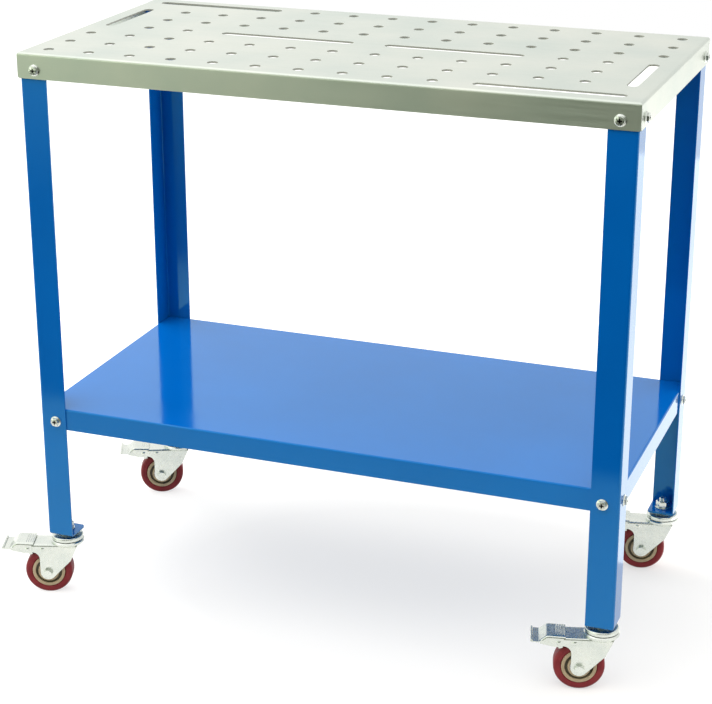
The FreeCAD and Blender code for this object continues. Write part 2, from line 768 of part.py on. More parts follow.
def make_stem():
    """The threaded stem with its peened end under the retainer."""
    body = new_body("stem")
    peen = given["peen_width"] / 2
    low = retainer_under - given["peen_height"]
    bevel, thread_bevel = given["edge_break"], given["thread_bevel"]
    turned = sketch_on(body, "XZ_Plane")
    trace(turned, [
        (0, low),
        (peen - bevel, low),
        (peen, low + bevel),
        (peen, retainer_under),
        (stem_radius, retainer_under),
        (stem_radius, stem_top - thread_bevel),
        (stem_radius - thread_bevel, stem_top),
        (0, stem_top),
    ])
    revolve(body, turned)
    return body


def make_upper_race():
    """The dished upper race on the stem."""
    body = new_body("race")
    bore, rim = stem_radius + given["thread_play"], given["race_width"] / 2
    bevel = given["edge_break"]
    rim_low = crown_top + given["rim_gap"]
    turned = sketch_on(body, "XZ_Plane")
    trace(turned, [
        (bore, race_under),
        (rim - given["race_rim"], race_under),
        (rim - given["race_rim"], rim_low),
        (rim, rim_low),
        (rim, race_top - bevel),
        (rim - bevel, race_top),
        (bore, race_top),
    ])
    revolve(body, turned)
    return body


def make_ring(label, bore_radius, outer_radius, low, high):
    """A plain ring about the Z axis."""
    body = new_body(label)
    turned = sketch_on(body, "XZ_Plane")
    rectangle(turned, bore_radius, low, outer_radius, high)
    revolve(body, turned)
    return body


def make_stem_groups():
    """The pieces that stay with the legs at each caster, one group for each kind."""
    upright = FreeCAD.Rotation()
    sides = [(side, depth) for side, depth, _ in CORNERS.values()]
    bore = given["stem_thread"] + 2 * given["thread_play"]
    play = stem_radius + given["thread_play"]
    washer_bore = (given["stem_thread"] + given["stem_room"]) / 2
    across = given["stem_nut_across"]
    retainer_rim, washer_rim = given["retainer_width"] / 2, given["washer_width"] / 2
    pieces = [
        ("caster_stems", make_stem(), 0),
        ("upper_races", make_upper_race(), 0),
        ("stem_retainers", make_ring("retainer", play, retainer_rim, retainer_under, retainer_top), 0),
        ("jam_nuts", make_hex_nut("jam_nut", across, given["jam_nut_height"], bore), race_top),
        ("foot_washers", make_ring("washer", washer_bore, washer_rim, 0, given["washer_sheet"]), foot_top),
        ("foot_nuts", make_hex_nut("foot_nut", across, given["stem_nut_height"], bore), washer_top),
    ]
    for label, piece, z in pieces:
        group(label, piece, [(side * stem_x, depth * stem_y, z, upright) for side, depth in sides])


def make_balls(corner):
    """The ring of swivel balls on the crown."""
    body = new_body(corner + "_swivel_balls")
    radius = given["ball_width"] / 2
    ring_x = given["ball_circle"] / 2
    middle = crown_top + given["ball_play"] + radius
    half_ball = sketch_on(body, "XZ_Plane", (ring_x, middle, 0))
    trace(half_ball, [(0, -radius), (radius, 0, radius, 1), (0, radius, radius, 1)])
    ball = revolve(body, half_ball)
    pattern = body.newObject("PartDesign::PolarPattern", corner + "_ball_ring")
    pattern.Originals = [ball]
    pattern.Axis = (origin_part(body, "Z_Axis"), [""])
    pattern.Angle = 360
    bind(pattern, "Occurrences", given["ball_count"])
    body.Tip = pattern
    settle(pattern)
    place_caster_piece(body, corner)


def make_fork(corner):
    """The folded fork: side plates with a nose, a web and the round crown of the swivel head."""
    body = new_body(corner + "_fork")
    end, slope, throat = given["fork_end"], given["fork_slope"], given["fork_throat"]
    nose, back, crest = given["nose_radius"], given["fork_back"], given["fork_crest"]
    plate_left = axle_x - end
    tangent_x, tangent_z = axle_x + end * sine(slope), axle_z - end * cosine(slope)
    back_z = tangent_z + (back - tangent_x) * sine(slope) / cosine(slope)
    nose_low = pivot_z - nose
    side_view = sketch_on(body, "XZ_Plane")
    trace(side_view, [
        (plate_left, axle_z),
        (axle_x, axle_z - end, end, 1),
        (tangent_x, tangent_z, end, 1),
        (back, back_z),
        (crest, web_top),
        (pivot_x, web_top),
        (pivot_x - nose, pivot_z, nose, 1),
        (pivot_x, nose_low, nose, 1),
        (plate_left - throat, nose_low),
        (plate_left, nose_low - throat, throat, -1),
    ])
    pad(body, side_view, 2 * fork_outside, both_sides=True)

    bend, inner_bend = given["fork_bend"], given["fork_bend"] - fork_sheet
    low = as_size(-OUTSIDE)
    channel = sketch_on(body, "YZ_Plane")
    rectangle(channel, -OUTSIDE, 2 * low, OUTSIDE, OUTSIDE)
    trace(channel, [
        (-fork_outside, low),
        (-fork_inside, low),
        (-fork_inside, web_under - inner_bend),
        (inner_bend - fork_inside, web_under, inner_bend, -1),
        (fork_inside - inner_bend, web_under),
        (fork_inside, web_under - inner_bend, inner_bend, -1),
        (fork_inside, low),
        (fork_outside, low),
        (fork_outside, web_top - bend),
        (fork_outside - bend, web_top, bend, 1),
        (bend - fork_outside, web_top),
        (-fork_outside, web_top - bend, bend, 1),
    ])
    pocket(body, channel, as_size(4 * OUTSIDE), both_sides=True)

    bore, rim, bevel = stem_radius + pin_play, given["crown_width"] / 2, given["edge_break"]
    crown = sketch_on(body, "XZ_Plane")
    trace(crown, [
        (bore, web_under),
        (rim - 2 * bevel, web_under),
        (rim, web_under + 2 * bevel),
        (rim, crown_top - bevel),
        (rim - bevel, crown_top),
        (bore, crown_top),
    ])
    revolve(body, crown)
    recess = sketch_on(body, "XY_Plane", (0, 0, web_under - fork_sheet))
    add_circle(recess, 0, 0, 2 * recess_radius)
    pocket(body, recess, crown_under - web_under + fork_sheet, upwards=True)

    holes = sketch_on(body, "XZ_Plane")
    seat = 2 * given["seat_play"]
    add_circle(holes, axle_x, axle_z, given["axle_thread"] + seat)
    add_circle(holes, pivot_x, pivot_z, given["rivet_width"] + seat)
    add_circle(holes, axle_x - given["stop_back"], web_top - given["stop_drop"], given["rivet_width"] + seat)
    pocket(body, holes, 4 * fork_outside, both_sides=True)
    place_caster_piece(body, corner)


def axle_sketch(body):
    """A sketch of a piece that is turned about the axle: X is the radius, Y runs along the axle."""
    return sketch_on(body, "XY_Plane", (axle_x, 0, axle_z))


def make_tyre(corner):
    """The tyre with rounded shoulders."""
    body = new_body(corner + "_tyre")
    inner, shoulder = given["core_width"] / 2 + given["seat_play"], given["tyre_shoulder"]
    section = axle_sketch(body)
    trace(section, [
        (inner, -tyre_half),
        (wheel_radius - shoulder, -tyre_half),
        (wheel_radius, shoulder - tyre_half, shoulder, 1),
        (wheel_radius, tyre_half - shoulder),
        (wheel_radius - shoulder, tyre_half, shoulder, 1),
        (inner, tyre_half),
    ])
    revolve(body, section)
    place_caster_piece(body, corner)


def make_core(corner):
    """The wheel core: rim, web, hub and two bearing seats."""
    body = new_body(corner + "_wheel_core")
    rim, hub = given["core_width"] / 2, given["hub_width"] / 2
    rim_inside = rim - given["core_rim"]
    rim_half = tyre_half + given["rim_proud"]
    web_half = given["core_web"] / 2
    seat = given["bearing_width"] / 2 + given["seat_play"]
    bore = given["sleeve_width"] / 2 + given["hub_play"]
    step = hub_half - given["bearing_depth"]
    half = [
        (bore, -step),
        (seat, -step),
        (seat, -hub_half),
        (hub, -hub_half),
        (hub, -web_half),
        (rim_inside, -web_half),
        (rim_inside, -rim_half),
        (rim, -rim_half),
    ]
    section = axle_sketch(body)
    trace(section, half + [(radius, -along) for radius, along in reversed(half)])
    revolve(body, section)
    place_caster_piece(body, corner)


def make_bearings(corner):
    """The two bearings of a wheel, with recessed shields."""
    body = new_body(corner + "_wheel_bearings")
    bore, outer = given["sleeve_width"] / 2 + pin_play, given["bearing_width"] / 2
    lip = given["bearing_lip"]
    inner_face = hub_half - given["bearing_depth"]
    shield = hub_half - given["shield_groove"]
    for side in (-1, 1):
        section = axle_sketch(body)
        trace(section, [
            (bore, side * inner_face),
            (outer, side * inner_face),
            (outer, side * hub_half),
            (outer - lip, side * hub_half),
            (outer - lip, side * shield),
            (bore + lip, side * shield),
            (bore + lip, side * hub_half),
            (bore, side * hub_half),
        ])
        revolve(body, section)
    place_caster_piece(body, corner)


def make_axle_bolt(corner):
    """The axle bolt with its head at the front."""
    body = new_body(corner + "_axle_bolt")
    shank = given["axle_thread"] / 2
    tail = fork_outside + given["axle_nut_height"] + given["axle_tail"]
    section = axle_sketch(body)
    rectangle(section, 0, -fork_outside, shank, tail)
    revolve(body, section)
    head = sketch_on(body, "XZ_Plane", (axle_x, axle_z, fork_outside))
    hexagon(head, as_size(0), as_size(0), given["axle_across"])
    pad(body, head, given["axle_head"])
    place_caster_piece(body, corner)


def make_axle_nut(corner):
    """The lock nut at the axle's rear end, with a rounded collar."""
    body = new_body(corner + "_axle_nut")
    bore = given["axle_thread"] + 2 * given["thread_play"]
    hex_height = given["axle_nut_hex"]
    block = sketch_on(body, "XZ_Plane", (axle_x, axle_z, -fork_outside - hex_height))
    hexagon(block, as_size(0), as_size(0), given["axle_across"])
    add_circle(block, 0, 0, bore)
    pad(body, block, hex_height)
    collar = sketch_on(body, "XZ_Plane", (axle_x, axle_z, -fork_outside - given["axle_nut_height"]))
    add_circle(collar, 0, 0, given["axle_across"] - given["edge_break"])
    add_circle(collar, 0, 0, bore)
    pad(body, collar, given["axle_nut_height"] - hex_height)
    place_caster_piece(body, corner)


def make_sleeve(corner):
    """The sleeve that the bearings turn on, clamped between the fork plates."""
    body = new_body(corner + "_axle_sleeve")
    section = axle_sketch(body)
    bore = given["axle_thread"] / 2 + given["seat_play"]
    rectangle(section, bore, -fork_inside, given["sleeve_width"] / 2, fork_inside)
    revolve(body, section)
    place_caster_piece(body, corner)


def turn_rivet(body, x, z, seat):
    """Add a rivet across the fork with domed heads whose undersides lie at the seat."""
    head, rise = given["rivet_head"] / 2, given["rivet_rise"]
    dome = (head * head + rise * rise) / (2 * rise)
    section = sketch_on(body, "XY_Plane", (x, 0, z))
    trace(section, [
        (0, -seat - rise),
        (head, -seat, dome, 1),
        (rivet_radius, -seat),
        (rivet_radius, seat),
        (head, seat),
        (0, seat + rise, dome, 1),
    ])
    revolve(body, section)


def make_rivets(corner):
    """The pedal's pivot rivet and the stop rivet."""
    body = new_body(corner + "_brake_rivets")
    turn_rivet(body, pivot_x, pivot_z, pedal_outside + given["rivet_gap"])
    turn_rivet(body, axle_x - given["stop_back"], web_top - given["stop_drop"], fork_outside)
    place_caster_piece(body, corner)


def make_pedal(corner):
    """The brake pedal: a bent plate with a rolled tip and tread ribs, and two ears on the pivot."""
    body = new_body(corner + "_brake_pedal")
    plate, ear = given["pedal_sheet"], given["ear_radius"]
    rear_x = pivot_x + given["pedal_rear"]
    rear_z = web_top + given["pedal_gap"]
    crest_x, crest_z = pivot_x - given["crest_back"], rear_z + given["crest_rise"]
    valley_x, valley_z = pivot_x - given["valley_back"], rear_z - given["valley_drop"]
    tip_x, tip_z = pivot_x - given["tip_back"], valley_z + given["tip_rise"]
    rise = given["crest_rise"] / (given["pedal_rear"] + given["crest_back"])
    side_view = sketch_on(body, "XZ_Plane")
    trace(side_view, [
        (tip_x, tip_z),
        (valley_x, valley_z),
        (pivot_x - given["ear_taper"], pivot_z - ear),
        (pivot_x, pivot_z - ear),
        (pivot_x + ear, pivot_z, ear, 1),
        (pivot_x + ear, rear_z + rise * (given["pedal_rear"] - ear)),
        (rear_x, rear_z),
        (rear_x, rear_z + plate),
        (crest_x, crest_z + plate),
        (valley_x, valley_z + plate),
        (tip_x, tip_z + plate),
    ])
    pad(body, side_view, 2 * pedal_outside, both_sides=True)
    hollow = sketch_on(body, "XZ_Plane")
    trace(hollow, [
        (valley_x, valley_z),
        (valley_x, valley_z - 2 * ear),
        (rear_x + plate, valley_z - 2 * ear),
        (rear_x + plate, rear_z - rise * plate),
        (crest_x, crest_z),
    ])
    pocket(body, hollow, 2 * ear_inside, both_sides=True)
    hem = sketch_on(body, "XZ_Plane")
    add_circle(hem, tip_x, tip_z + plate / 2, given["hem_width"])
    pad(body, hem, 2 * pedal_outside, both_sides=True)
    ribs = sketch_on(body, "XZ_Plane")
    for number in range(int(given["rib_count"].value)):
        ahead = given["rib_start"] - number * given["rib_pitch"]
        surface = rear_z + plate + rise * (given["pedal_rear"] - ahead)
        add_circle(ribs, pivot_x + ahead, surface - given["rib_sink"], given["rib_width"])
    pad(body, ribs, given["rib_length"], both_sides=True)
    pivot = sketch_on(body, "XZ_Plane")
    add_circle(pivot, pivot_x, pivot_z, given["rivet_width"] + 2 * pin_play)
    pocket(body, pivot, 4 * pedal_outside, both_sides=True)
    place_caster_piece(body, corner)


def make_shoe(corner):
    """The brake shoe on the pivot: a block that swings to the tyre, and a curled tail."""
    body = new_body(corner + "_brake_shoe")
    width = given["shoe_width"]
    hub = sketch_on(body, "XZ_Plane")
    add_circle(hub, pivot_x, pivot_z, 2 * given["shoe_hub"])
    pad(body, hub, width, both_sides=True)

    over_x, over_z = axle_x - pivot_x, pivot_z - axle_z
    apart = root(over_x * over_x + over_z * over_z)
    reach = apart - wheel_radius - given["shoe_room"]
    towards_x, towards_z = over_x / apart, -over_z / apart
    lag_cos, lag_sin = cosine(given["shoe_lag"]), sine(given["shoe_lag"])
    out_x = towards_x * lag_cos + towards_z * lag_sin
    out_z = towards_z * lag_cos - towards_x * lag_sin
    half = given["shoe_block"] / 2
    block = sketch_on(body, "XZ_Plane")
    block_end = root(reach * reach - half * half)
    corners = [(-half, 0), (half, 0), (half, block_end), (-half, block_end)]
    trace(block, [
        (pivot_x + out_x * along - out_z * across, pivot_z + out_z * along + out_x * across)
        for across, along in corners
    ])
    pad(body, block, width, both_sides=True)

    sheet_z = given["tail_sheet"]
    end_x, end_z = pivot_x - given["tail_back"], pivot_z - given["tail_drop"]
    tail = sketch_on(body, "XZ_Plane")
    trace(tail, [
        (end_x - sheet_z, end_z),
        (end_x, end_z),
        (pivot_x, pivot_z - given["shoe_hub"] - sheet_z),
        (pivot_x, pivot_z - given["shoe_hub"] / 2),
        (end_x, end_z + sheet_z),
        (end_x, end_z + given["tail_lip"] + sheet_z),
        (end_x - sheet_z, end_z + given["tail_lip"] + sheet_z),
    ])
    pad(body, tail, width, both_sides=True)
    pivot = sketch_on(body, "XZ_Plane")
    add_circle(pivot, pivot_x, pivot_z, given["rivet_width"] + 2 * pin_play)
    pocket(body, pivot, 2 * width, both_sides=True)
    place_caster_piece(body, corner)


def make_caster(corner):
    """All the turning pieces of one caster."""
    make_fork(corner)
    make_balls(corner)
    make_rivets(corner)
    make_axle_bolt(corner)
    make_axle_nut(corner)
    make_sleeve(corner)
    make_tyre(corner)
    make_core(corner)
    make_bearings(corner)
    make_pedal(corner)
    make_shoe(corner)


def write_parts():
    """Test every object, then write one file for each sub-part."""
    doc.recompute()
    for thing in doc.Objects:
        if "Invalid" in thing.State or "Error" in thing.State:
            raise RuntimeError("%s failed: %s" % (thing.Label, thing.State))
    for thing in nodes:
        if thing.Shape.isNull() or not thing.Shape.isValid():
            raise RuntimeError("%s has no valid shape" % thing.Label)
    os.makedirs("parts", exist_ok=True)
    box = FreeCAD.BoundBox()
    for thing in nodes:
        thing.Shape.exportStep("parts/%s.step" % thing.Label)
        box.add(thing.Shape.optimalBoundingBox())
    middle = box.Center
    print("%d sub-parts, box %.1f x %.1f x %.1f" % (len(nodes), box.XLength, box.YLength, box.ZLength))
    print("box middle %.2f, %.2f, lowest point %.3f" % (middle.x, middle.y, box.ZMin))


make_tabletop()
make_shelf()
for name in CORNERS:
    make_leg(name)
make_fasteners()
make_stem_groups()
for name in CORNERS:
    make_caster(name)
write_parts()
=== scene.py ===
"""Mobile welding table: finished pieces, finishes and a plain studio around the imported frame.

The tabletop, legs, shelf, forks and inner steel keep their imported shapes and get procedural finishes. Bolts,
nuts, stems, races, tyres, wheel cores, axle bolts and brake pedals are worked out here as numpy surfaces.
Sizes of pieces are in millimetres, places come from the frame, and Blender gets metres.
"""
import json
import logging
from collections.abc import Callable
from dataclasses import dataclass, field
from enum import Enum
from math import atan2, degrees, hypot, pi, radians

import bpy
import numpy as np
from mathutils import Matrix, Vector


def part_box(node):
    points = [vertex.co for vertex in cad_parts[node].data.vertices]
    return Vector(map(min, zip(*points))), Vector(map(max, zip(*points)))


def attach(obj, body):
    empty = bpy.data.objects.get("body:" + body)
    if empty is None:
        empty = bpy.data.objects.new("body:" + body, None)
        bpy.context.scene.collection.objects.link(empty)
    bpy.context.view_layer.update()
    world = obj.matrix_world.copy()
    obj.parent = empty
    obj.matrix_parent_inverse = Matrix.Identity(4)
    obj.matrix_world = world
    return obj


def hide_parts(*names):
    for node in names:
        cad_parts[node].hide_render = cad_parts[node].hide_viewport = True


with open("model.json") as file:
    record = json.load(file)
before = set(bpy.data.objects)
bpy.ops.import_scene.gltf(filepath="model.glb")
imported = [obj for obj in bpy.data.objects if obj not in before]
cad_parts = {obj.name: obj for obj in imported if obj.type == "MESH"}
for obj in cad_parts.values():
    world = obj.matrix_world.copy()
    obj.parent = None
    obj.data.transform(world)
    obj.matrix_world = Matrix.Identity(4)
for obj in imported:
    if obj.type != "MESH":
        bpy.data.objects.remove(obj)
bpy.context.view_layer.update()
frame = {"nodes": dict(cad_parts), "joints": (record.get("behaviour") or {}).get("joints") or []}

MM = 0.001
FRAME_BODY = "frame"
# Mesh attribute for painted shade: darkening put into recesses, creases and grooves
PAINTED_SHADE = "grime"
WHITE = (1.0, 1.0, 1.0, 1.0)
log = logging.getLogger("welding_table")

# Points in a plain ring, a broad one and a tyre's
AROUND = 48
BROAD_AROUND = 72
TYRE_AROUND = 96

# A thread's rings in each turn, and its depth as a share of its pitch
RINGS_PER_TURN = 6
THREAD_DEPTH = 0.54

# The cone that cuts a hexagon's end: its radius there over half the width, and how fast that grows
CHAMFER_START = 0.97
CHAMFER_SLOPE = 1.73

Colour = tuple[float, float, float, float]
Spot = tuple[float, float, float]
Span = tuple[float, float]
Ramp = tuple[Span, Span]
Sockets = dict[str, bpy.types.NodeSocket]


class Slot(Enum):
    """The record's material slots."""

    TOP_PLATE = "top_plate"
    BLUE_COAT = "blue_coat"
    BRIGHT_ZINC = "bright_zinc"
    TYRE_TREAD = "tyre_tread"
    WHEEL_CORE = "wheel_core"
    BEARING_STEEL = "bearing_steel"


class Corner(Enum):
    """The four corners of the table."""

    FRONT_LEFT = "front_left"
    FRONT_RIGHT = "front_right"
    BACK_LEFT = "back_left"
    BACK_RIGHT = "back_right"

    def named(self, piece: str) -> str:
        """Return the name of this corner's node, body or joint."""
        return f"{self.value}_{piece}"


class Motion(Enum):
    """The motions of a caster, each one joint."""

    SWIVEL = "swivel_turn"
    SPIN = "wheel_spin"
    PRESS = "brake_press"


class Effect(Enum):
    """Surface effects that several finishes share, each one node group."""

    CLOUDS = "cloudy_patches"
    GRAIN = "drawn_grain"
    SCRATCHES = "fine_scratches"


# Transforms and outlines

def shift(x: float, y: float, z: float) -> np.ndarray:
    """Return the 4 x 4 transform that moves a point by x, y and z."""
    return np.array(Matrix.Translation((x, y, z)))


def turn(angle: float, axis: str) -> np.ndarray:
    """Return the 4 x 4 transform that turns a point about a main axis by an angle in degrees."""
    return np.array(Matrix.Rotation(radians(angle), 4, axis))


def unit(vectors: np.ndarray) -> np.ndarray:
    """Return vectors of length one, along the last axis."""
    return vectors / np.linalg.norm(vectors, axis=-1, keepdims=True)


def around(count: int = AROUND) -> np.ndarray:
    """Return the angles of a ring's points, from zero up to a full turn."""
    return np.linspace(0, 2 * pi, count, endpoint=False)


def circles(radii: np.ndarray | list[float], count: int = AROUND) -> np.ndarray:
    """Return one ring for each radius, with that radius at every angle."""
    return np.repeat(np.array(radii, float)[:, None], count, axis=1)


def rounded(corners: list[Spot], steps: int = 5) -> np.ndarray:
    """Return a closed outline whose corners are round.

    Each corner becomes an arc that touches its two runs. The arc's centre lies on the corner's bisector,
    radius / sin(half the corner's angle) away, and the arc is the spherical mix of its two end directions.

    Args:
        corners: the x, y and radius of each corner, in order; no radius is zero and no corner is straight.
        steps: the number of pieces in each arc.

    Returns:
        The points of the outline, one row each.
    """
    spots = np.array(corners, float)
    xy, radius = spots[:, :2], spots[:, 2:]
    back = unit(np.roll(xy, 1, axis=0) - xy)
    ahead = unit(np.roll(xy, -1, axis=0) - xy)
    half = np.arccos(np.clip((back * ahead).sum(axis=1, keepdims=True), -1, 1)) / 2
    centre = xy + unit(back + ahead) * radius / np.sin(half)
    reach = radius / np.tan(half)
    first, last = xy + back * reach - centre, xy + ahead * reach - centre
    sweep = (pi - 2 * half)[:, None]
    t = np.linspace(0, 1, steps + 1)[None, :, None]
    arc = (np.sin((1 - t) * sweep) * first[:, None] + np.sin(t * sweep) * last[:, None]) / np.sin(sweep)
    return (centre[:, None] + arc).reshape(-1, 2)


def hexagon(across: float) -> np.ndarray:
    """Return a hexagon's radius round a ring: half its width / cos(angle from the nearest flat's middle)."""
    return across / 2 / np.cos(np.mod(around(), pi / 3) - pi / 6)


def cut_hexagon(across: float, from_end: np.ndarray, start: float = CHAMFER_START) -> np.ndarray:
    """Return the rings of a hexagon whose end is cut by a cone: the lesser of the two radii at each angle.

    Args:
        across: the hexagon's width over its flats.
        from_end: how far each ring lies from the end.
        start: the cone's radius at the end, as a share of half that width.

    Returns:
        The radii by ring and place.
    """
    cone = across / 2 * start + from_end * CHAMFER_SLOPE
    return np.minimum(hexagon(across), cone[:, None])


def cross_outline(arm: float, width: float, least: float = 1e-6) -> np.ndarray:
    """Return a plus sign's radius round a ring: the nearer of an arm's end and its side, per quarter turn."""
    folded = np.abs(np.mod(around() + pi / 4, pi / 2) - pi / 4)
    return np.minimum(arm / 2 / np.cos(folded), width / 2 / np.maximum(np.sin(folded), least))


def screw(thread: float, pitch: float, span: Span, tip: float, bevel: float) -> tuple[np.ndarray, np.ndarray]:
    """Return the rings of a threaded shank.

    The radius is a triangular wave that climbs one pitch in each turn, cut at the tip by a cone that widens
    as fast as it goes along.

    Args:
        thread: the thread's outer diameter.
        pitch: the climb in one turn.
        span: the heights of its lower and upper end.
        tip: the height of its free end.
        bevel: how much less the radius is there.

    Returns:
        The radii by ring and place, and the height of each ring.
    """
    turns = (span[1] - span[0]) / pitch
    height = np.linspace(*span, int(RINGS_PER_TURN * turns) + 1)
    phase = np.mod(height[:, None] / pitch - around()[None, :] / (2 * pi), 1)
    wave = thread / 2 - THREAD_DEPTH * pitch * np.abs(2 * phase - 1)
    cone = thread / 2 - bevel + np.abs(tip - height)
    return np.minimum(wave, cone[:, None]), height


# Surfaces

@dataclass
class Surface:
    """A mesh in millimetres, held as arrays.

    Attributes:
        points: one row of x, y and z for each point.
        quads: four point numbers for each quad.
        triangles: three point numbers for each triangle.
        grime: how much painted shade each point holds, from zero to one; none means unshaded.
    """

    points: np.ndarray
    quads: np.ndarray
    triangles: np.ndarray = field(default_factory=lambda: np.empty((0, 3), int))
    grime: np.ndarray | None = None

    @classmethod
    def skin(cls, rings: np.ndarray, loop: bool = False, grime: np.ndarray | None = None) -> "Surface":
        """Join a stack of rings into a closed skin.

        Point (ring i, place j) becomes the quad (i, j), (i, j + 1), (i + 1, j + 1), (i + 1, j). A looped
        stack closes on its first ring, and any other gets a fan from the middle of its first and last ring.

        Args:
            rings: points by ring and place, counter-clockwise seen from the end of the stack.
            loop: whether the last ring joins the first.
            grime: the painted shade of each ring and place.

        Returns:
            The skin, with its faces outwards.
        """
        count, places = rings.shape[:2]
        number = np.arange(count * places).reshape(count, places)
        ahead = np.roll(number, -1, axis=1)
        above, above_ahead = np.roll(number, -1, axis=0), np.roll(ahead, -1, axis=0)
        quads = np.stack([number, ahead, above_ahead, above], axis=2)
        points = rings.reshape(-1, 3)
        shade_amounts = np.zeros((count, places)) if grime is None else grime
        if loop:
            return cls(points, quads.reshape(-1, 4), grime=shade_amounts.reshape(-1))
        low, high = np.full(places, len(points)), np.full(places, len(points) + 1)
        bottom = np.stack([low, ahead[0], number[0]], axis=1)
        top = np.stack([high, number[-1], ahead[-1]], axis=1)
        ends = rings[[0, -1]].mean(axis=1)
        shade_amounts = np.concatenate([shade_amounts.reshape(-1), shade_amounts[[0, -1]].mean(axis=1)])
        return cls(np.vstack([points, ends]), quads[:-1].reshape(-1, 4), np.vstack([bottom, top]), shade_amounts)

    @classmethod
    def lathe(cls, radius: np.ndarray, height: np.ndarray, loop: bool = False,
              grime: np.ndarray | None = None) -> "Surface":
        """Skin rings whose radius may change with the angle: x = r cos(angle), y = r sin(angle), z = height.

        Args:
            radius: radii by ring and place.
            height: the height of each ring.
            loop: whether the last ring joins the first.
            grime: the painted shade of each ring and place.

        Returns:
            The skin, with its faces outwards where the outer rings climb.
        """
        theta = around(radius.shape[1])
        level = circles(height, len(theta))
        rings = np.stack([radius * np.cos(theta), radius * np.sin(theta), level], axis=2)
        return cls.skin(rings, loop, grime)

    @classmethod
    def turned(cls, profile: np.ndarray, count: int = AROUND, grime: np.ndarray | None = None) -> "Surface":
        """Turn a closed profile about Z.

        Args:
            profile: rows of radius and height, the outer side climbing.
            count: the number of points in each ring.
            grime: the painted shade of each row.

        Returns:
            The turned skin, with its faces outwards.
        """
        shade_amounts = None if grime is None else circles(grime, count)
        return cls.lathe(circles(profile[:, 0], count), profile[:, 1], loop=True, grime=shade_amounts)

    @classmethod
    def plate(cls, grid: np.ndarray, sheet: float) -> "Surface":
        """Thicken a grid of mid-surface points into a closed plate.

        Each side lies half the sheet from the grid along its normal, which is the step along the rows crossed
        with the step along the columns, and a rim of quads joins the two sides.

        Args:
            grid: points by row and column.
            sheet: the plate's thickness.

        Returns:
            The plate, with its faces outwards.
        """
        normal = unit(np.cross(np.gradient(grid, axis=0), np.gradient(grid, axis=1)))
        sides = np.stack([grid + normal * sheet / 2, grid - normal * sheet / 2])
        rows, columns = grid.shape[:2]
        below = rows * columns
        number = np.arange(below).reshape(rows, columns)
        corners = [number[:-1, :-1], number[1:, :-1], number[1:, 1:], number[:-1, 1:]]
        upper = np.stack(corners, axis=2).reshape(-1, 4)
        edge = np.concatenate([number[:, 0], number[-1, 1:], number[-2::-1, -1], number[0, -2:0:-1]])
        ahead = np.roll(edge, -1)
        rim = np.stack([edge + below, ahead + below, ahead, edge], axis=1)
        return cls(sides.reshape(-1, 3), np.vstack([upper, upper[:, ::-1] + below, rim]))

    @classmethod
    def joined(cls, parts: list["Surface"]) -> "Surface":
        """Return one surface that holds all the parts."""
        starts = np.cumsum([0] + [len(part.points) for part in parts])
        return cls(
            np.vstack([part.points for part in parts]),
            np.vstack([part.quads + start for part, start in zip(parts, starts)]),
            np.vstack([part.triangles + start for part, start in zip(parts, starts)]),
            np.concatenate([part.shade_amounts() for part in parts]),
        )

    def shade_amounts(self) -> np.ndarray:
        """Return the painted shade of every point, zero where none was given."""
        return np.zeros(len(self.points)) if self.grime is None else self.grime

    def moved(self, transform: np.ndarray) -> "Surface":
        """Return this surface after a 4 x 4 transform."""
        points = self.points @ transform[:3, :3].T + transform[:3, 3]
        return Surface(points, self.quads, self.triangles, self.grime)

    def as_object(self, name: str, crease: float) -> bpy.types.Object:
        """Make a Blender object at the origin, in metres.

        Args:
            name: the object's name.
            crease: the angle in degrees past which an edge is sharp.

        Returns:
            The object, linked to the scene.
        """
        mesh = bpy.data.meshes.new(name)
        mesh.from_pydata((self.points * MM).tolist(), [], self.quads.tolist() + self.triangles.tolist())
        mesh.polygons.foreach_set("use_smooth", np.ones(len(mesh.polygons), bool))
        mesh.set_sharp_from_angle(angle=radians(crease))
        # Each point's painted shade, which the finishes darken by
        mesh.attributes.new(PAINTED_SHADE, "FLOAT", "POINT").data.foreach_set("value", self.shade_amounts())
        mesh.update()
        piece = bpy.data.objects.new(name, mesh)
        bpy.context.scene.collection.objects.link(piece)
        return piece


# Node trees and shared effects

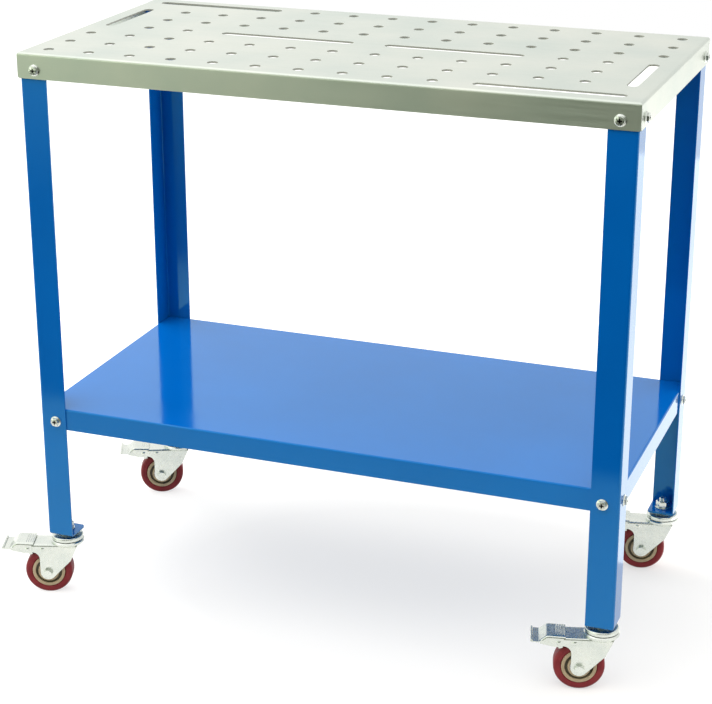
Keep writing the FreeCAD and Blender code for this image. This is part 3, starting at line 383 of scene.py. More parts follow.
@dataclass
class Board:
    """A node tree that is being wired."""

    tree: bpy.types.NodeTree

    def add(self, kind: str, inputs: dict | None = None, **settings: object) -> bpy.types.Node:
        """Add a node.

        Args:
            kind: the node's type.
            inputs: a socket to link or a value to set, by the input's name or number.
            settings: values of the node's own properties.

        Returns:
            The node.
        """
        node = self.tree.nodes.new(kind)
        for name, value in settings.items():
            setattr(node, name, value)
        for key, value in (inputs or {}).items():
            if isinstance(value, bpy.types.NodeSocket):
                self.tree.links.new(value, node.inputs[key])
            else:
                node.inputs[key].default_value = value
        return node

    def math(self, operation: str, first: object, second: object = 0.0) -> bpy.types.NodeSocket:
        """Return the result of an operation on one or two values."""
        return self.add("ShaderNodeMath", {0: first, 1: second}, operation=operation).outputs[0]

    def spread(self, value: object, source: tuple, target: tuple) -> bpy.types.NodeSocket:
        """Return a value carried from one range to another and held within it."""
        names = ("Value", "From Min", "From Max", "To Min", "To Max")
        return self.add("ShaderNodeMapRange", dict(zip(names, (value, *source, *target)))).outputs[0]

    def noise(self, vector: object, scale: object, detail: object = 2.0) -> bpy.types.NodeSocket:
        """Return a noise value between zero and one."""
        inputs = {"Vector": vector, "Scale": scale, "Detail": detail}
        return self.add("ShaderNodeTexNoise", inputs).outputs[0]

    def blend(self, amount: object, first: object, second: object) -> bpy.types.NodeSocket:
        """Return the mix of two colours."""
        inputs = {0: amount, 6: first, 7: second}
        return self.add("ShaderNodeMix", inputs, data_type="RGBA").outputs[2]

    def place(self) -> bpy.types.NodeSocket:
        """Return the place on the piece in its own coordinates."""
        return self.add("ShaderNodeTexCoord").outputs["Object"]

    def apart(self, vector: bpy.types.NodeSocket) -> Sockets:
        """Return a vector's three values by the names of their axes."""
        return dict(self.add("ShaderNodeSeparateXYZ", {0: vector}).outputs.items())

    def effect(self, kind: Effect, **values: float) -> bpy.types.NodeSocket:
        """Return the value of a shared effect at this piece's place, with its own settings."""
        inputs = {"Place": self.place(), **values}
        return self.add("ShaderNodeGroup", inputs, node_tree=PATTERNS[kind].group(kind)).outputs["Value"]


@dataclass(frozen=True)
class Pattern:
    """How an effect's node group is made.

    Attributes:
        wire: what wires the pattern from the group's inputs.
        numbers: the default of each number that it takes.
        span: the range that the pattern's values fill.
    """

    wire: Callable[[Board, Sockets], bpy.types.NodeSocket]
    numbers: dict[str, float]
    span: Span

    def group(self, kind: Effect) -> bpy.types.NodeTree:
        """Return an effect's node group, made on first use.

        The group takes a place, the pattern's own numbers, and a low and a high value, and puts out the
        pattern carried between those two.

        Args:
            kind: the effect, whose value names the group.

        Returns:
            The group.
        """
        if found := bpy.data.node_groups.get(kind.value):
            return found
        tree = bpy.data.node_groups.new(kind.value, "ShaderNodeTree")
        tree.interface.new_socket("Place", in_out="INPUT", socket_type="NodeSocketVector")
        for name, default in {**self.numbers, "Low": 0.0, "High": 1.0}.items():
            socket = tree.interface.new_socket(name, in_out="INPUT", socket_type="NodeSocketFloat")
            socket.default_value = default
        tree.interface.new_socket("Value", in_out="OUTPUT", socket_type="NodeSocketFloat")
        board = Board(tree)
        given = dict(board.add("NodeGroupInput").outputs.items())
        value = board.spread(self.wire(board, given), self.span, (given["Low"], given["High"]))
        board.add("NodeGroupOutput", {"Value": value})
        return tree


def wire_clouds(board: Board, given: Sockets) -> bpy.types.NodeSocket:
    """Return broad cloudy patches, which are plain noise."""
    return board.noise(given["Place"], given["Scale"], given["Detail"])


def wire_grain(board: Board, given: Sockets) -> bpy.types.NodeSocket:
    """Return rolling grain: noise with a low rate along X and a high one across it.

    Args:
        board: the group's board.
        given: the group's inputs.

    Returns:
        The noise.
    """
    rates = {0: given["Along"], 1: given["Across"], 2: given["Across"]}
    rate = board.add("ShaderNodeCombineXYZ", rates).outputs[0]
    drawn = board.add("ShaderNodeVectorMath", {0: given["Place"], 1: rate}, operation="MULTIPLY").outputs[0]
    return board.noise(drawn, scale=1.0, detail=3.0)


def wire_scratches(board: Board, given: Sockets) -> bpy.types.NodeSocket:
    """Return fine scratches: thin level lines of turned, drawn-out noise, broken up by patches.

    Args:
        board: the group's board.
        given: the group's inputs.

    Returns:
        One on a scratch and zero elsewhere.
    """
    drawing = {"Vector": given["Place"], "Rotation": (0.4, 0.7, 0.9), "Scale": (0.15, 1.0, 1.0)}
    drawn = board.add("ShaderNodeMapping", drawing).outputs[0]
    middle, full = 0.5, 0.65
    from_level = board.math("SUBTRACT", board.noise(drawn, given["Scale"], detail=1.0), middle)
    line = board.spread(board.math("ABSOLUTE", from_level), (0.0, given["Width"]), (1.0, 0.0))
    gaps = board.spread(board.noise(given["Place"], given["Scale"]), (middle, full), (0.0, 1.0))
    return board.math("MULTIPLY", line, gaps)


PATTERNS = {
    Effect.CLOUDS: Pattern(wire_clouds, {"Scale": 10.0, "Detail": 4.0}, (0.32, 0.68)),
    Effect.GRAIN: Pattern(wire_grain, {"Along": 8.0, "Across": 500.0}, (0.3, 0.7)),
    Effect.SCRATCHES: Pattern(wire_scratches, {"Scale": 30.0, "Width": 0.01}, (0.0, 1.0)),
}


# Finishes

@dataclass(frozen=True)
class Finish:
    """A finish with cloudy colour, uneven gloss and a fine relief.

    Attributes:
        name: the material's name.
        slot: the record's slot that it stands for; not used.
        deep: its colour in the deeper patches.
        pale: its colour in the paler patches.
        gloss: the lowest and highest roughness.
        metallic: how much of it is bare metal.
        patch_scale: the patches' rate over a metre.
        smudge_rate: the rate of smudges in its gloss, as a multiple of the patches'.
        relief_scale: the relief's rate over a metre.
        relief: the relief's height in metres.
        specular: the strength of its reflection where it isn't metal.
        specular_tint: the colour of that reflection, seen straight on.
        grime_colour: the colour of the painted shade where a mesh says that it holds some.
    """

    name: str
    slot: Slot
    deep: Colour
    pale: Colour
    gloss: Span
    metallic: float = 0.0
    patch_scale: float = 12.0
    smudge_rate: float = 3.0
    relief_scale: float = 700.0
    relief: float = 0.00002
    specular: float = 0.5
    specular_tint: Colour = WHITE
    grime_colour: Colour | None = None

    def material(self) -> bpy.types.Material:
        """Return the finish's material, made on first use."""
        return bpy.data.materials.get(self.name) or self.build()

    def build(self) -> bpy.types.Material:
        """Wire the finish's material.

        Returns:
            The material.
        """
        material = bpy.data.materials.new(self.name)
        material.use_nodes = True
        board = Board(material.node_tree)
        shader = material.node_tree.nodes["Principled BSDF"]
        shader.inputs["Specular IOR Level"].default_value = self.specular
        shader.inputs["Specular Tint"].default_value = self.specular_tint
        links = material.node_tree.links
        links.new(self.colour(board), shader.inputs["Base Color"])
        links.new(self.roughness(board), shader.inputs["Roughness"])
        self.set_metal(board, shader.inputs["Metallic"])
        bump = board.add("ShaderNodeBump", {"Height": self.height(board), "Distance": self.relief})
        links.new(bump.outputs[0], shader.inputs["Normal"])
        return material

    def colour(self, board: Board) -> bpy.types.NodeSocket:
        """Wire the colour: the two shades mixed by the patches, under any painted shade that the mesh holds.

        Args:
            board: the material's board.

        Returns:
            The colour.
        """
        shade = board.blend(board.effect(Effect.CLOUDS, Scale=self.patch_scale), self.deep, self.pale)
        if self.grime_colour is None:
            return shade
        # Painted shade: darken recesses and grooves by the mesh's attribute
        shade_amounts = board.add("ShaderNodeAttribute", attribute_name=PAINTED_SHADE).outputs["Fac"]
        return board.blend(shade_amounts, shade, self.grime_colour)

    def set_metal(self, board: Board, socket: bpy.types.NodeSocket) -> None:
        """Set how much of the surface is bare metal, the same all over."""
        socket.default_value = self.metallic

    def roughness(self, board: Board) -> bpy.types.NodeSocket:
        """Return the roughness: smudges between the two ends of the gloss."""
        low, high = self.gloss
        return board.effect(
            Effect.CLOUDS, Scale=self.smudge_rate * self.patch_scale, Detail=6.0, Low=low, High=high)

    def height(self, board: Board) -> bpy.types.NodeSocket:
        """Return the relief's height."""
        return board.noise(board.place(), self.relief_scale)


@dataclass(frozen=True)
class PlatedSheet(Finish):
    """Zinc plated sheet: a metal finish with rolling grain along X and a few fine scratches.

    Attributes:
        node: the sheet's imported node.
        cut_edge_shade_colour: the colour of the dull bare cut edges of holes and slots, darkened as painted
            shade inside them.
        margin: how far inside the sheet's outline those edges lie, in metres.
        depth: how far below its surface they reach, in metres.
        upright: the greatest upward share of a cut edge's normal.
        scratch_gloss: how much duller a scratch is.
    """

    node: str = "tabletop"
    cut_edge_shade_colour: Colour = (0.34, 0.34, 0.29, 1)
    margin: float = 0.012
    depth: float = 0.003
    upright: float = 0.5
    scratch_gloss: float = 0.12

    def colour(self, board: Board) -> bpy.types.NodeSocket:
        """Return the colour: the two shades mixed by the patches, and painted shade on the cut edges inside
        holes and slots.
        """
        # Painted shade: the walls of holes and slots get a dark colour besides their dull bare finish
        return board.blend(self.cut_edges(board), super().colour(board), self.cut_edge_shade_colour)

    def set_metal(self, board: Board, socket: bpy.types.NodeSocket) -> None:
        """Set the bare metal: none on the cut edges, which are dull."""
        plated = board.math("SUBTRACT", 1.0, self.cut_edges(board))
        board.tree.links.new(board.math("MULTIPLY", plated, self.metallic), socket)

    def cut_edges(self, board: Board) -> bpy.types.NodeSocket:
        """Wire a mask of the upright faces within the sheet's thickness and inside its outline.

        Args:
            board: the material's board.

        Returns:
            One on those faces and zero elsewhere.
        """
        low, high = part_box(self.node)
        place = board.apart(board.place())
        facing = board.apart(board.add("ShaderNodeTexCoord").outputs["Normal"])
        mask = board.math("LESS_THAN", board.math("ABSOLUTE", facing["Z"]), self.upright)
        limits = {
            "X": (low[0] + self.margin, high[0] - self.margin),
            "Y": (low[1] + self.margin, high[1] - self.margin),
            "Z": (high[2] - self.depth, high[2] + self.depth),
        }
        for axis, (near, far) in limits.items():
            mask = board.math("MULTIPLY", mask, board.math("GREATER_THAN", place[axis], near))
            mask = board.math("MULTIPLY", mask, board.math("LESS_THAN", place[axis], far))
        return mask

    def roughness(self, board: Board) -> bpy.types.NodeSocket:
        """Wire the roughness: grain between the two ends of the gloss, and duller scratches.

        Args:
            board: the material's board.

        Returns:
            The roughness.
        """
        low, high = self.gloss
        grain = board.effect(Effect.GRAIN, Along=6.0, Across=260.0, Low=low, High=high)
        scratches = board.effect(Effect.SCRATCHES, Scale=26.0, Width=0.006, High=self.scratch_gloss)
        return board.math("ADD", grain, scratches)

    def height(self, board: Board) -> bpy.types.NodeSocket:
        """Return the relief's height: fine grain."""
        return board.effect(Effect.GRAIN, Along=10.0, Across=self.relief_scale)


@dataclass(frozen=True)
class Palette:
    """All the table's finishes."""

    sheet: Finish = PlatedSheet(
        "zinc_plated_sheet", Slot.TOP_PLATE, (0.665, 0.725, 0.655, 1), (0.775, 0.80, 0.715, 1), (0.32, 0.40),
        metallic=1.0, patch_scale=7.0, relief_scale=900.0, relief=0.00001)
    paint: Finish = Finish(
        "blue_powder_coat", Slot.BLUE_COAT, (0.0, 0.108, 0.44, 1), (0.0, 0.122, 0.485, 1), (0.05, 0.12),
        patch_scale=5.0, relief_scale=420.0, relief=0.00003, specular=0.95, specular_tint=(0.3, 1, 1, 1))
    # The zinc and the core carry a dark colour for painted shade in recesses and grooves
    zinc: Finish = Finish(
        "bright_zinc_plating", Slot.BRIGHT_ZINC, (0.70, 0.745, 0.69, 1), (0.80, 0.83, 0.76, 1), (0.2, 0.32),
        metallic=1.0, patch_scale=45.0, relief_scale=240.0, relief=0.000006,
        grime_colour=(0.03, 0.03, 0.028, 1))
    tread: Finish = Finish(
        "dark_red_tyre", Slot.TYRE_TREAD, (0.19, 0.014, 0.019, 1), (0.26, 0.026, 0.032, 1), (0.4, 0.55),
        patch_scale=60.0, relief_scale=1800.0, relief=0.00003, specular=0.3)
    core: Finish = Finish(
        "tan_moulding", Slot.WHEEL_CORE, (0.44, 0.33, 0.2, 1), (0.54, 0.43, 0.28, 1), (0.38, 0.52),
        patch_scale=70.0, relief_scale=1600.0, relief=0.00003, grime_colour=(0.05, 0.045, 0.02, 1))
    steel: Finish = Finish(
        "ground_steel", Slot.BEARING_STEEL, (0.5, 0.51, 0.53, 1), (0.6, 0.6, 0.6, 1), (0.2, 0.3),
        metallic=1.0, patch_scale=80.0, relief_scale=2500.0, relief=0.000006)


# Fasteners, each about its own Z axis

@dataclass(frozen=True)
class FlangeBolt:
    """Hex flange bolt with a cross recess, with its seat at height zero and its head above it."""

    thread: float = 8.0
    pitch: float = 1.25
    length: float = 16.0
    flange: float = 17.0
    flange_edge: float = 0.8
    skirt_top: float = 2.4
    skirt_rings: int = 6
    across: float = 12.0
    head: float = 5.5
    crown: float = 0.9
    crown_rings: int = 5
    arm: float = 6.8
    arm_width: float = 2.0
    recess_lip: float = 0.15
    recess: float = 2.4
    recess_taper: tuple[float, ...] = (1.06, 1.0, 0.86)
    skirt_grime: float = 0.55

    def surface(self) -> Surface:
        """Skin the bolt from its tip to the bottom of its recess.

        The radius at each height and angle is the thread's, then the greater of the flange's cone and the
        hexagon, then the lesser of the hexagon and the crown's cone, then the cross of the recess. Painted
        shade darkens the recess and the crease where the skirt meets the hexagon.

        Returns:
            The bolt's surface.
        """
        shank, low = screw(self.thread, self.pitch, (-self.length, 0.0), -self.length, self.pitch)
        rim = circles([self.flange / 2] * 2)
        rise = np.linspace(self.flange_edge, self.skirt_top, self.skirt_rings + 1)[1:]
        fall = np.interp(rise, [self.flange_edge, self.skirt_top], [self.flange / 2, self.across / 2])
        skirt = np.maximum(fall[:, None], hexagon(self.across))
        top = np.linspace(self.head - self.crown, self.head, self.crown_rings)
        crown = cut_hexagon(self.across, self.head - top)
        socket = np.outer(self.recess_taper, cross_outline(self.arm, self.arm_width))
        sunk = self.head - np.array([0.0, self.recess_lip, self.recess])
        radii = np.vstack([shank, rim, skirt, crown, socket])
        # Painted shade in the cross recess and at the crease where the skirt meets the hexagon
        grime = np.zeros_like(radii)
        grime[-2:] = 1.0
        skirt_end = len(shank) + len(rim) + len(skirt) - 1
        grime[skirt_end] = self.skirt_grime
        height = np.concatenate([low, [0.0, self.flange_edge], rise, top, sunk])
        return Surface.lathe(radii, height, grime=grime)


@dataclass(frozen=True)
class HexNut:
    """Hex nut between two heights, with a round disc above its hexagon where one is given."""

    low: float
    high: float
    across: float
    bore: float
    disc: float = 0.0
    disc_height: float = 0.0
    disc_edge: float = 0.3
    bore_bevel: float = 0.5
    rings: int = 13

    def surface(self) -> Surface:
        """Skin the nut: up its outside, in at the top, down its bore and out at the bottom.

        The outside is a hexagon whose ends are cut by a cone, and then the disc, whose edges are bevelled.

        Returns:
            The nut's surface.
        """
        ends = np.array([1, 0, 0, 1])
        body_top = self.high - self.disc_height
        height = np.linspace(self.low, body_top, self.rings)
        rings = [cut_hexagon(self.across, np.minimum(height - self.low, body_top - height))]
        levels = [height]
        if self.disc:
            rings.append(circles(self.disc / 2 - self.disc_edge * ends))
            levels.append([body_top, body_top + self.disc_edge, self.high - self.disc_edge, self.high])
        rings.append(circles(self.bore / 2 + self.bore_bevel * ends))
        levels.append([self.high, self.high - self.bore_bevel, self.low + self.bore_bevel, self.low])
        return Surface.lathe(np.vstack(rings), np.concatenate(levels), loop=True)


@dataclass(frozen=True)
class Ring:
    """Flat washer with soft edges."""

    low: float
    high: float
    width: float
    bore: float
    edge: float = 0.4
    arc_steps: int = 3

    def surface(self) -> Surface:
        """Turn the washer's rounded rectangle about its axis."""
        inner, outer = self.bore / 2, self.width / 2
        return Surface.turned(rounded([
            (outer, self.low, self.edge), (outer, self.high, self.edge),
            (inner, self.high, self.edge), (inner, self.low, self.edge)], self.arc_steps))


@dataclass(frozen=True)
class Stem:
    """Caster stem: a peened foot, a plain neck in the swivel head and a thread above it."""

    foot_low: float = 81.2
    foot_high: float = 84.2
    foot: float = 18.0
    foot_edge: float = 1.4
    foot_rings: int = 5
    thread: float = 12.0
    pitch: float = 1.75
    thread_low: float = 99.0
    high: float = 124.5
    bevel: float = 1.2

    def surface(self) -> Surface:
        """Skin the stem from its foot up: a rounded foot, a plain neck, then the thread to its bevelled end.

        Returns:
            The stem's surface.
        """
        swell = np.linspace(0, pi / 2, self.foot_rings)
        foot_r = self.foot / 2 - self.foot_edge * (1 - np.sin(swell))
        foot_z = self.foot_low + self.foot_edge * (1 - np.cos(swell))
        plain = circles([*foot_r, self.foot / 2, self.thread / 2, self.thread / 2])
        thread, climb = screw(self.thread, self.pitch, (self.thread_low, self.high), self.high, self.bevel)
        height = np.concatenate([foot_z, [self.foot_high, self.foot_high, self.thread_low], climb])
        return Surface.lathe(np.vstack([plain, thread]), height)


@dataclass(frozen=True)
class Race:
    """Upper race of the swivel head: a shallow pressed cup, open side down, round the stem."""

    bore: float = 12.06
    width: float = 50.0
    wall: float = 2.5
    rim_low: float = 92.5
    under: float = 96.0
    high: float = 99.0
    edge: float = 0.5
    bore_edge: float = 0.3
    bend: float = 2.4
    inner_bend: float = 0.9

    def surface(self) -> Surface:
        """Turn the cup's profile, with a broad bend where the rim turns down."""
        inner, outer, inside = self.bore / 2, self.width / 2, self.width / 2 - self.wall
        return Surface.turned(rounded([
            (outer, self.rim_low, self.edge), (outer, self.high, self.bend),
            (inner, self.high, self.bore_edge), (inner, self.under, self.bore_edge),
            (inside, self.under, self.inner_bend), (inside, self.rim_low, self.edge)]), BROAD_AROUND)


# Wheels and brakes, in the caster's own frame: stem on Z, pedal towards -X

@dataclass(frozen=True)
class Tyre:
    """Solid tyre about its axle, with a crowned tread and round shoulders."""

    width: float = 26.0
    bore: float = 51.66
    lip: float = 2.0
    lip_depth: float = 1.5
    lip_edge: float = 0.6
    side_edge: float = 1.2
    shoulder: float = 4.6
    crown: float = 0.5
    arc_steps: int = 8
    tread_points: int = 7

    def surface(self, radius: float) -> Surface:
        """Turn the tyre's profile.

        Args:
            radius: the tyre's outer radius.

        Returns:
            The tyre about Z; the tread falls from its middle to its sides with the square of the way across.
        """
        inner, half = self.bore / 2, self.width / 2
        side = [(inner, half - self.lip_depth, self.lip_edge), (inner + self.lip, half, self.side_edge),
                (radius, half, self.shoulder)]
        section = rounded([(r, -z, edge) for r, z, edge in side] + side[::-1], self.arc_steps)
        tread_start = len(side) * (self.arc_steps + 1)
        shoulders = section[tread_start - 1:tread_start + 1, 1]
        tread = np.linspace(*shoulders, self.tread_points + 2)[1:-1]
        rows = np.stack([np.full_like(tread, radius), tread], axis=1)
        section = np.insert(section, tread_start, rows, axis=0)
        outer = section[:, 0] > radius - self.shoulder
        section[:, 0] -= outer * self.crown * (section[:, 1] / half) ** 2
        return Surface.turned(section, TYRE_AROUND)


@dataclass(frozen=True)
class WheelCore:
    """Moulded wheel core: a hub with bearing seats, a web and a rim under the tyre."""

    bore: float = 15.0
    bore_half: float = 7.0
    bore_edge: float = 0.4
    seat: float = 26.06
    seat_corner: float = 0.3
    hub: float = 33.0
    hub_half: float = 15.0
    hub_edge: float = 1.0
    web_half: float = 8.0
    rim_inside: float = 41.6
    rim: float = 51.6
    rim_half: float = 13.5
    rim_edge: float = 0.8
    arc_steps: int = 4
    groove_grime: float = 0.85
    grime_rise: float = 1.4
    grime_margin: float = 0.1

    def surface(self) -> Surface:
        """Turn the core's profile: out along one side, up the rim, back along the other and down the bore.

        Painted shade lies on the web, in the groove between the hub and the rim, and thins out towards their
        ends.

        Returns:
            The core about Z.
        """
        side = [
            (self.bore, self.bore_half, self.bore_edge),
            (self.seat, self.bore_half, self.seat_corner),
            (self.seat, self.hub_half, self.bore_edge),
            (self.hub, self.hub_half, self.hub_edge),
            (self.hub, self.web_half, self.rim_edge),
            (self.rim_inside, self.web_half, self.rim_edge),
            (self.rim_inside, self.rim_half, self.rim_edge),
            (self.rim, self.rim_half, self.rim_edge),
        ]
        below = [(width / 2, -half, edge) for width, half, edge in side]
        above = [(width / 2, half, edge) for width, half, edge in reversed(side)]
        profile = rounded(below + above, self.arc_steps)
        radius, height = profile.T
        # Painted shade in the groove between the hub and the rim
        in_groove = radius > self.hub / 2 - self.grime_margin
        in_groove &= radius < self.rim_inside / 2 + self.grime_margin
        deep = (self.rim_half - np.abs(height)) / (self.rim_half - self.web_half)
        grime = in_groove * np.clip(deep * self.grime_rise, 0, 1) * self.groove_grime
        return Surface.turned(profile, BROAD_AROUND, grime)


@dataclass(frozen=True)
class AxleBolt:
    """Axle bolt along Z: a hex head at its low end and a thread at its high end."""

    thread: float = 8.0
    pitch: float = 1.25
    seat: float = -19.0
    head: float = 5.5
    across: float = 13.0
    face: float = 11.05
    chamfer_start: float = 0.96
    chamfer_height: float = 1.0
    chamfer_rings: int = 5
    thread_low: float = 17.5
    high: float = 30.0
    bevel: float = 0.9

    def surface(self) -> Surface:
        """Skin the bolt: a hexagon whose outer end is cut by a cone, a plain shank and a thread.

        Returns:
            The bolt's surface.
        """
        low = self.seat - self.head
        chamfer = np.linspace(low, low + self.chamfer_height, self.chamfer_rings)
        head_z = np.concatenate([chamfer, [self.seat]])
        head = cut_hexagon(self.across, head_z - low, self.chamfer_start)
        plain = circles([self.thread / 2] * 2)
        thread, climb = screw(self.thread, self.pitch, (self.thread_low, self.high), self.high, self.bevel)
        height = np.concatenate([[low], head_z, [self.seat, self.thread_low], climb])
        return Surface.lathe(np.vstack([circles([self.face / 2]), head, plain, thread]), height)


@dataclass(frozen=True)
class Pedal:
    """Pressed brake pedal about its pivot: a bent plate with a rolled tip, tread ribs and two ears.

    Points on its side view are given as x and z. The hem is the rolled tip, and its point is the middle of
    the roll.
    """

    sheet: float = 1.5
    half_width: float = 20.8
    rear: Span = (9.6, 8.45)
    crest: Span = (-17.0, 9.65)
    crest_bend: float = 6.0
    valley: Span = (-29.5, -0.55)
    valley_bend: float = 5.0
    bend_steps: int = 12
    hem: Span = (-39.0, 1.9)
    hem_radius: float = 1.25
    hem_entry: float = -100.0
    hem_turn: float = 265.0
    hem_points: int = 40
    path_points: int = 180
    fold: float = 2.5
    fold_start: float = 1.0
    fold_reach: float = 6.0
    fold_columns: int = 5
    flat_columns: int = 19
    ear_radius: float = 7.0
    ear_taper: float = -6.0
    ear_front: float = -2.0
    ear_start: float = 2.5
    ear_lap: float = 0.3
    ear_least: float = 0.4
    ear_rows: int = 6
    slant_points: int = 30
    arc_points: int = 12
    ear_path: int = 120
    ribs: tuple[float, ...] = (7.0, 3.6, 0.2, -3.2)
    rib_radius: float = 0.9
    rib_sink: float = 0.3
    rib_half: float = 15.0

    def path(self) -> np.ndarray:
        """Return the plate's mid-line from its rear to its rolled tip.

        The line bends over the crest and through the valley on arcs, then meets the hem's circle at a tangent
        and follows it round. Points lie about a third of a millimetre apart.

        Returns:
            Rows of x and z.
        """
        sharp, arc = 0.01, self.bend_steps + 1
        corners = [(*self.rear, sharp), (*self.crest, self.crest_bend),
                   (*self.valley, self.valley_bend), (*self.hem, sharp)]
        bends = rounded(corners, self.bend_steps)[arc:3 * arc]
        angle = radians(self.hem_entry) - np.linspace(0, radians(self.hem_turn), self.hem_points)
        curl = np.array(self.hem) + self.hem_radius * np.stack([np.cos(angle), np.sin(angle)], axis=1)
        line = np.vstack([self.rear, bends, curl])
        run = np.concatenate([[0], np.cumsum(np.hypot(*np.diff(line, axis=0).T))])
        at = np.linspace(0, run[-1], self.path_points)
        return np.stack([np.interp(at, run, values) for values in line.T], axis=1)

    def folded(self, x: np.ndarray) -> np.ndarray:
        """Return how far the plate's edges are folded down at each x: none at the valley, full past it."""
        t = np.clip((x - self.valley[0] - self.fold_start) / self.fold_reach, 0, 1)
        return t * t * (3 - 2 * t)

    def ear_bottom(self, x: np.ndarray) -> np.ndarray:
        """Return the ears' lower edge: a slant from the valley, a flat, then an arc about the pivot.

        Args:
            x: the places along the ear.

        Returns:
            The edge's height at each place.
        """
        slant = np.interp(x, [self.valley[0], self.ear_taper], [self.ear_front, -self.ear_radius])
        arc = -np.sqrt(np.maximum(self.ear_radius ** 2 - np.clip(x, 0, self.ear_radius) ** 2, 0))
        return np.where(x < 0, slant, arc)

    def plate_part(self) -> Surface:
        """Build the bent plate with its ribs and folded edges.

        Across the plate a point goes out flat and then, over the last stretch, down a quarter circle, by the
        share that the edge is folded there. Each rib lifts the plate by a circle's arc above its chord.

        Returns:
            The plate's surface.
        """
        path = self.path()
        flat_half = self.half_width - self.sheet / 2 - self.fold
        strip = np.linspace(0, pi / 2, self.fold_columns + 1)[1:]
        bent = flat_half + self.fold * np.sin(strip)
        straight = flat_half + (self.half_width - flat_half) * strip * 2 / pi
        share = self.folded(path[:, 0])[:, None]
        edge = bent * share + straight * (1 - share)
        drop = self.fold * (1 - np.cos(strip)) * share
        inner = np.tile(np.linspace(-flat_half, flat_half, self.flat_columns), (len(path), 1))
        y = np.hstack([-edge[:, ::-1], inner, edge])
        fall = np.hstack([drop[:, ::-1], np.zeros_like(inner), drop])
        normal = unit(np.gradient(path, axis=0) @ np.array([[0, -1], [1, 0]]))
        apart = path[:, :1] - np.array(self.ribs)
        bumps = np.sqrt(np.maximum(self.rib_radius ** 2 - apart ** 2, 0)) - self.rib_sink
        lift = np.maximum(bumps, 0).max(axis=1)[:, None] * (np.abs(y) < self.rib_half)
        out = lift - fall
        grid = np.stack([path[:, :1] + normal[:, :1] * out, y, path[:, 1:] + normal[:, 1:] * out], axis=2)
        return Surface.plate(grid, self.sheet)

    def ear_part(self, side: int) -> Surface:
        """Build one ear: a flat plate between the fold and the ears' lower edge.

        Args:
            side: -1 for the near ear, 1 for the far one.

        Returns:
            The ear's surface.
        """
        path = self.path()[:self.ear_path]
        path = path[np.argsort(path[:, 0])]
        slant = np.linspace(self.valley[0] + self.ear_start, 0, self.slant_points)[:-1]
        x = np.concatenate([slant, self.ear_radius * np.sin(np.linspace(0, pi / 2, self.arc_points))])
        low = self.ear_bottom(x)
        fold_z = np.interp(x, *path.T) - self.fold * self.folded(x)
        high = np.maximum(fold_z + self.ear_lap, low + self.ear_least)
        z = low[:, None] + (high - low)[:, None] * np.linspace(0, 1, self.ear_rows)
        y = side * (self.half_width - self.sheet / 2)
        return Surface.plate(np.stack(np.broadcast_arrays(x[:, None], y, z), axis=2), self.sheet)

    def surface(self) -> Surface:
        """Return the whole pedal."""
        return Surface.joined([self.plate_part(), self.ear_part(-1), self.ear_part(1)])


# Sub-assemblies

@dataclass
class Fitter:
    """Puts finished surfaces on the table's bodies.

    Attributes:
        palette: the table's finishes.
        crease: the angle in degrees past which an edge is sharp.
    """

    palette: Palette
    crease: float = 35.0

    def fit(self, surface: Surface, name: str, body: str, finish: Finish, node: str,
            crease: float | None = None) -> None:
        """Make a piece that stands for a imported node.

        Args:
            surface: the piece's surface in millimetres.
            name: the piece's name.
            body: the body that it rides on.
            finish: its finish.
            node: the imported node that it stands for.
            crease: its own angle past which an edge is sharp, if it has one.
        """
        piece = surface.as_object(name, crease or self.crease)
        piece.data.materials.append(finish.material())
        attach(piece, body)
        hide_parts(node)
        log.info("%s: %d points on %s", name, len(surface.points), body)

    def dress(self, node: str, finish: Finish) -> None:
        """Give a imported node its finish.

        Args:
            node: the node's name.
            finish: the finish.
        """
        piece = frame["nodes"][node]
        piece.data.materials.clear()
        piece.data.materials.append(finish.material())
        log.info("%s: %s", node, finish.name)


@dataclass
class SheetWork:
    """The tabletop, the shelf and the legs."""

    fitter: Fitter

    def dress(self) -> None:
        """Give the folded sheets their finishes."""
        palette = self.fitter.palette
        self.fitter.dress("tabletop", palette.sheet)
        self.fitter.dress("lower_shelf", palette.paint)
        for corner in Corner:
            self.fitter.dress(corner.named("leg"), palette.paint)


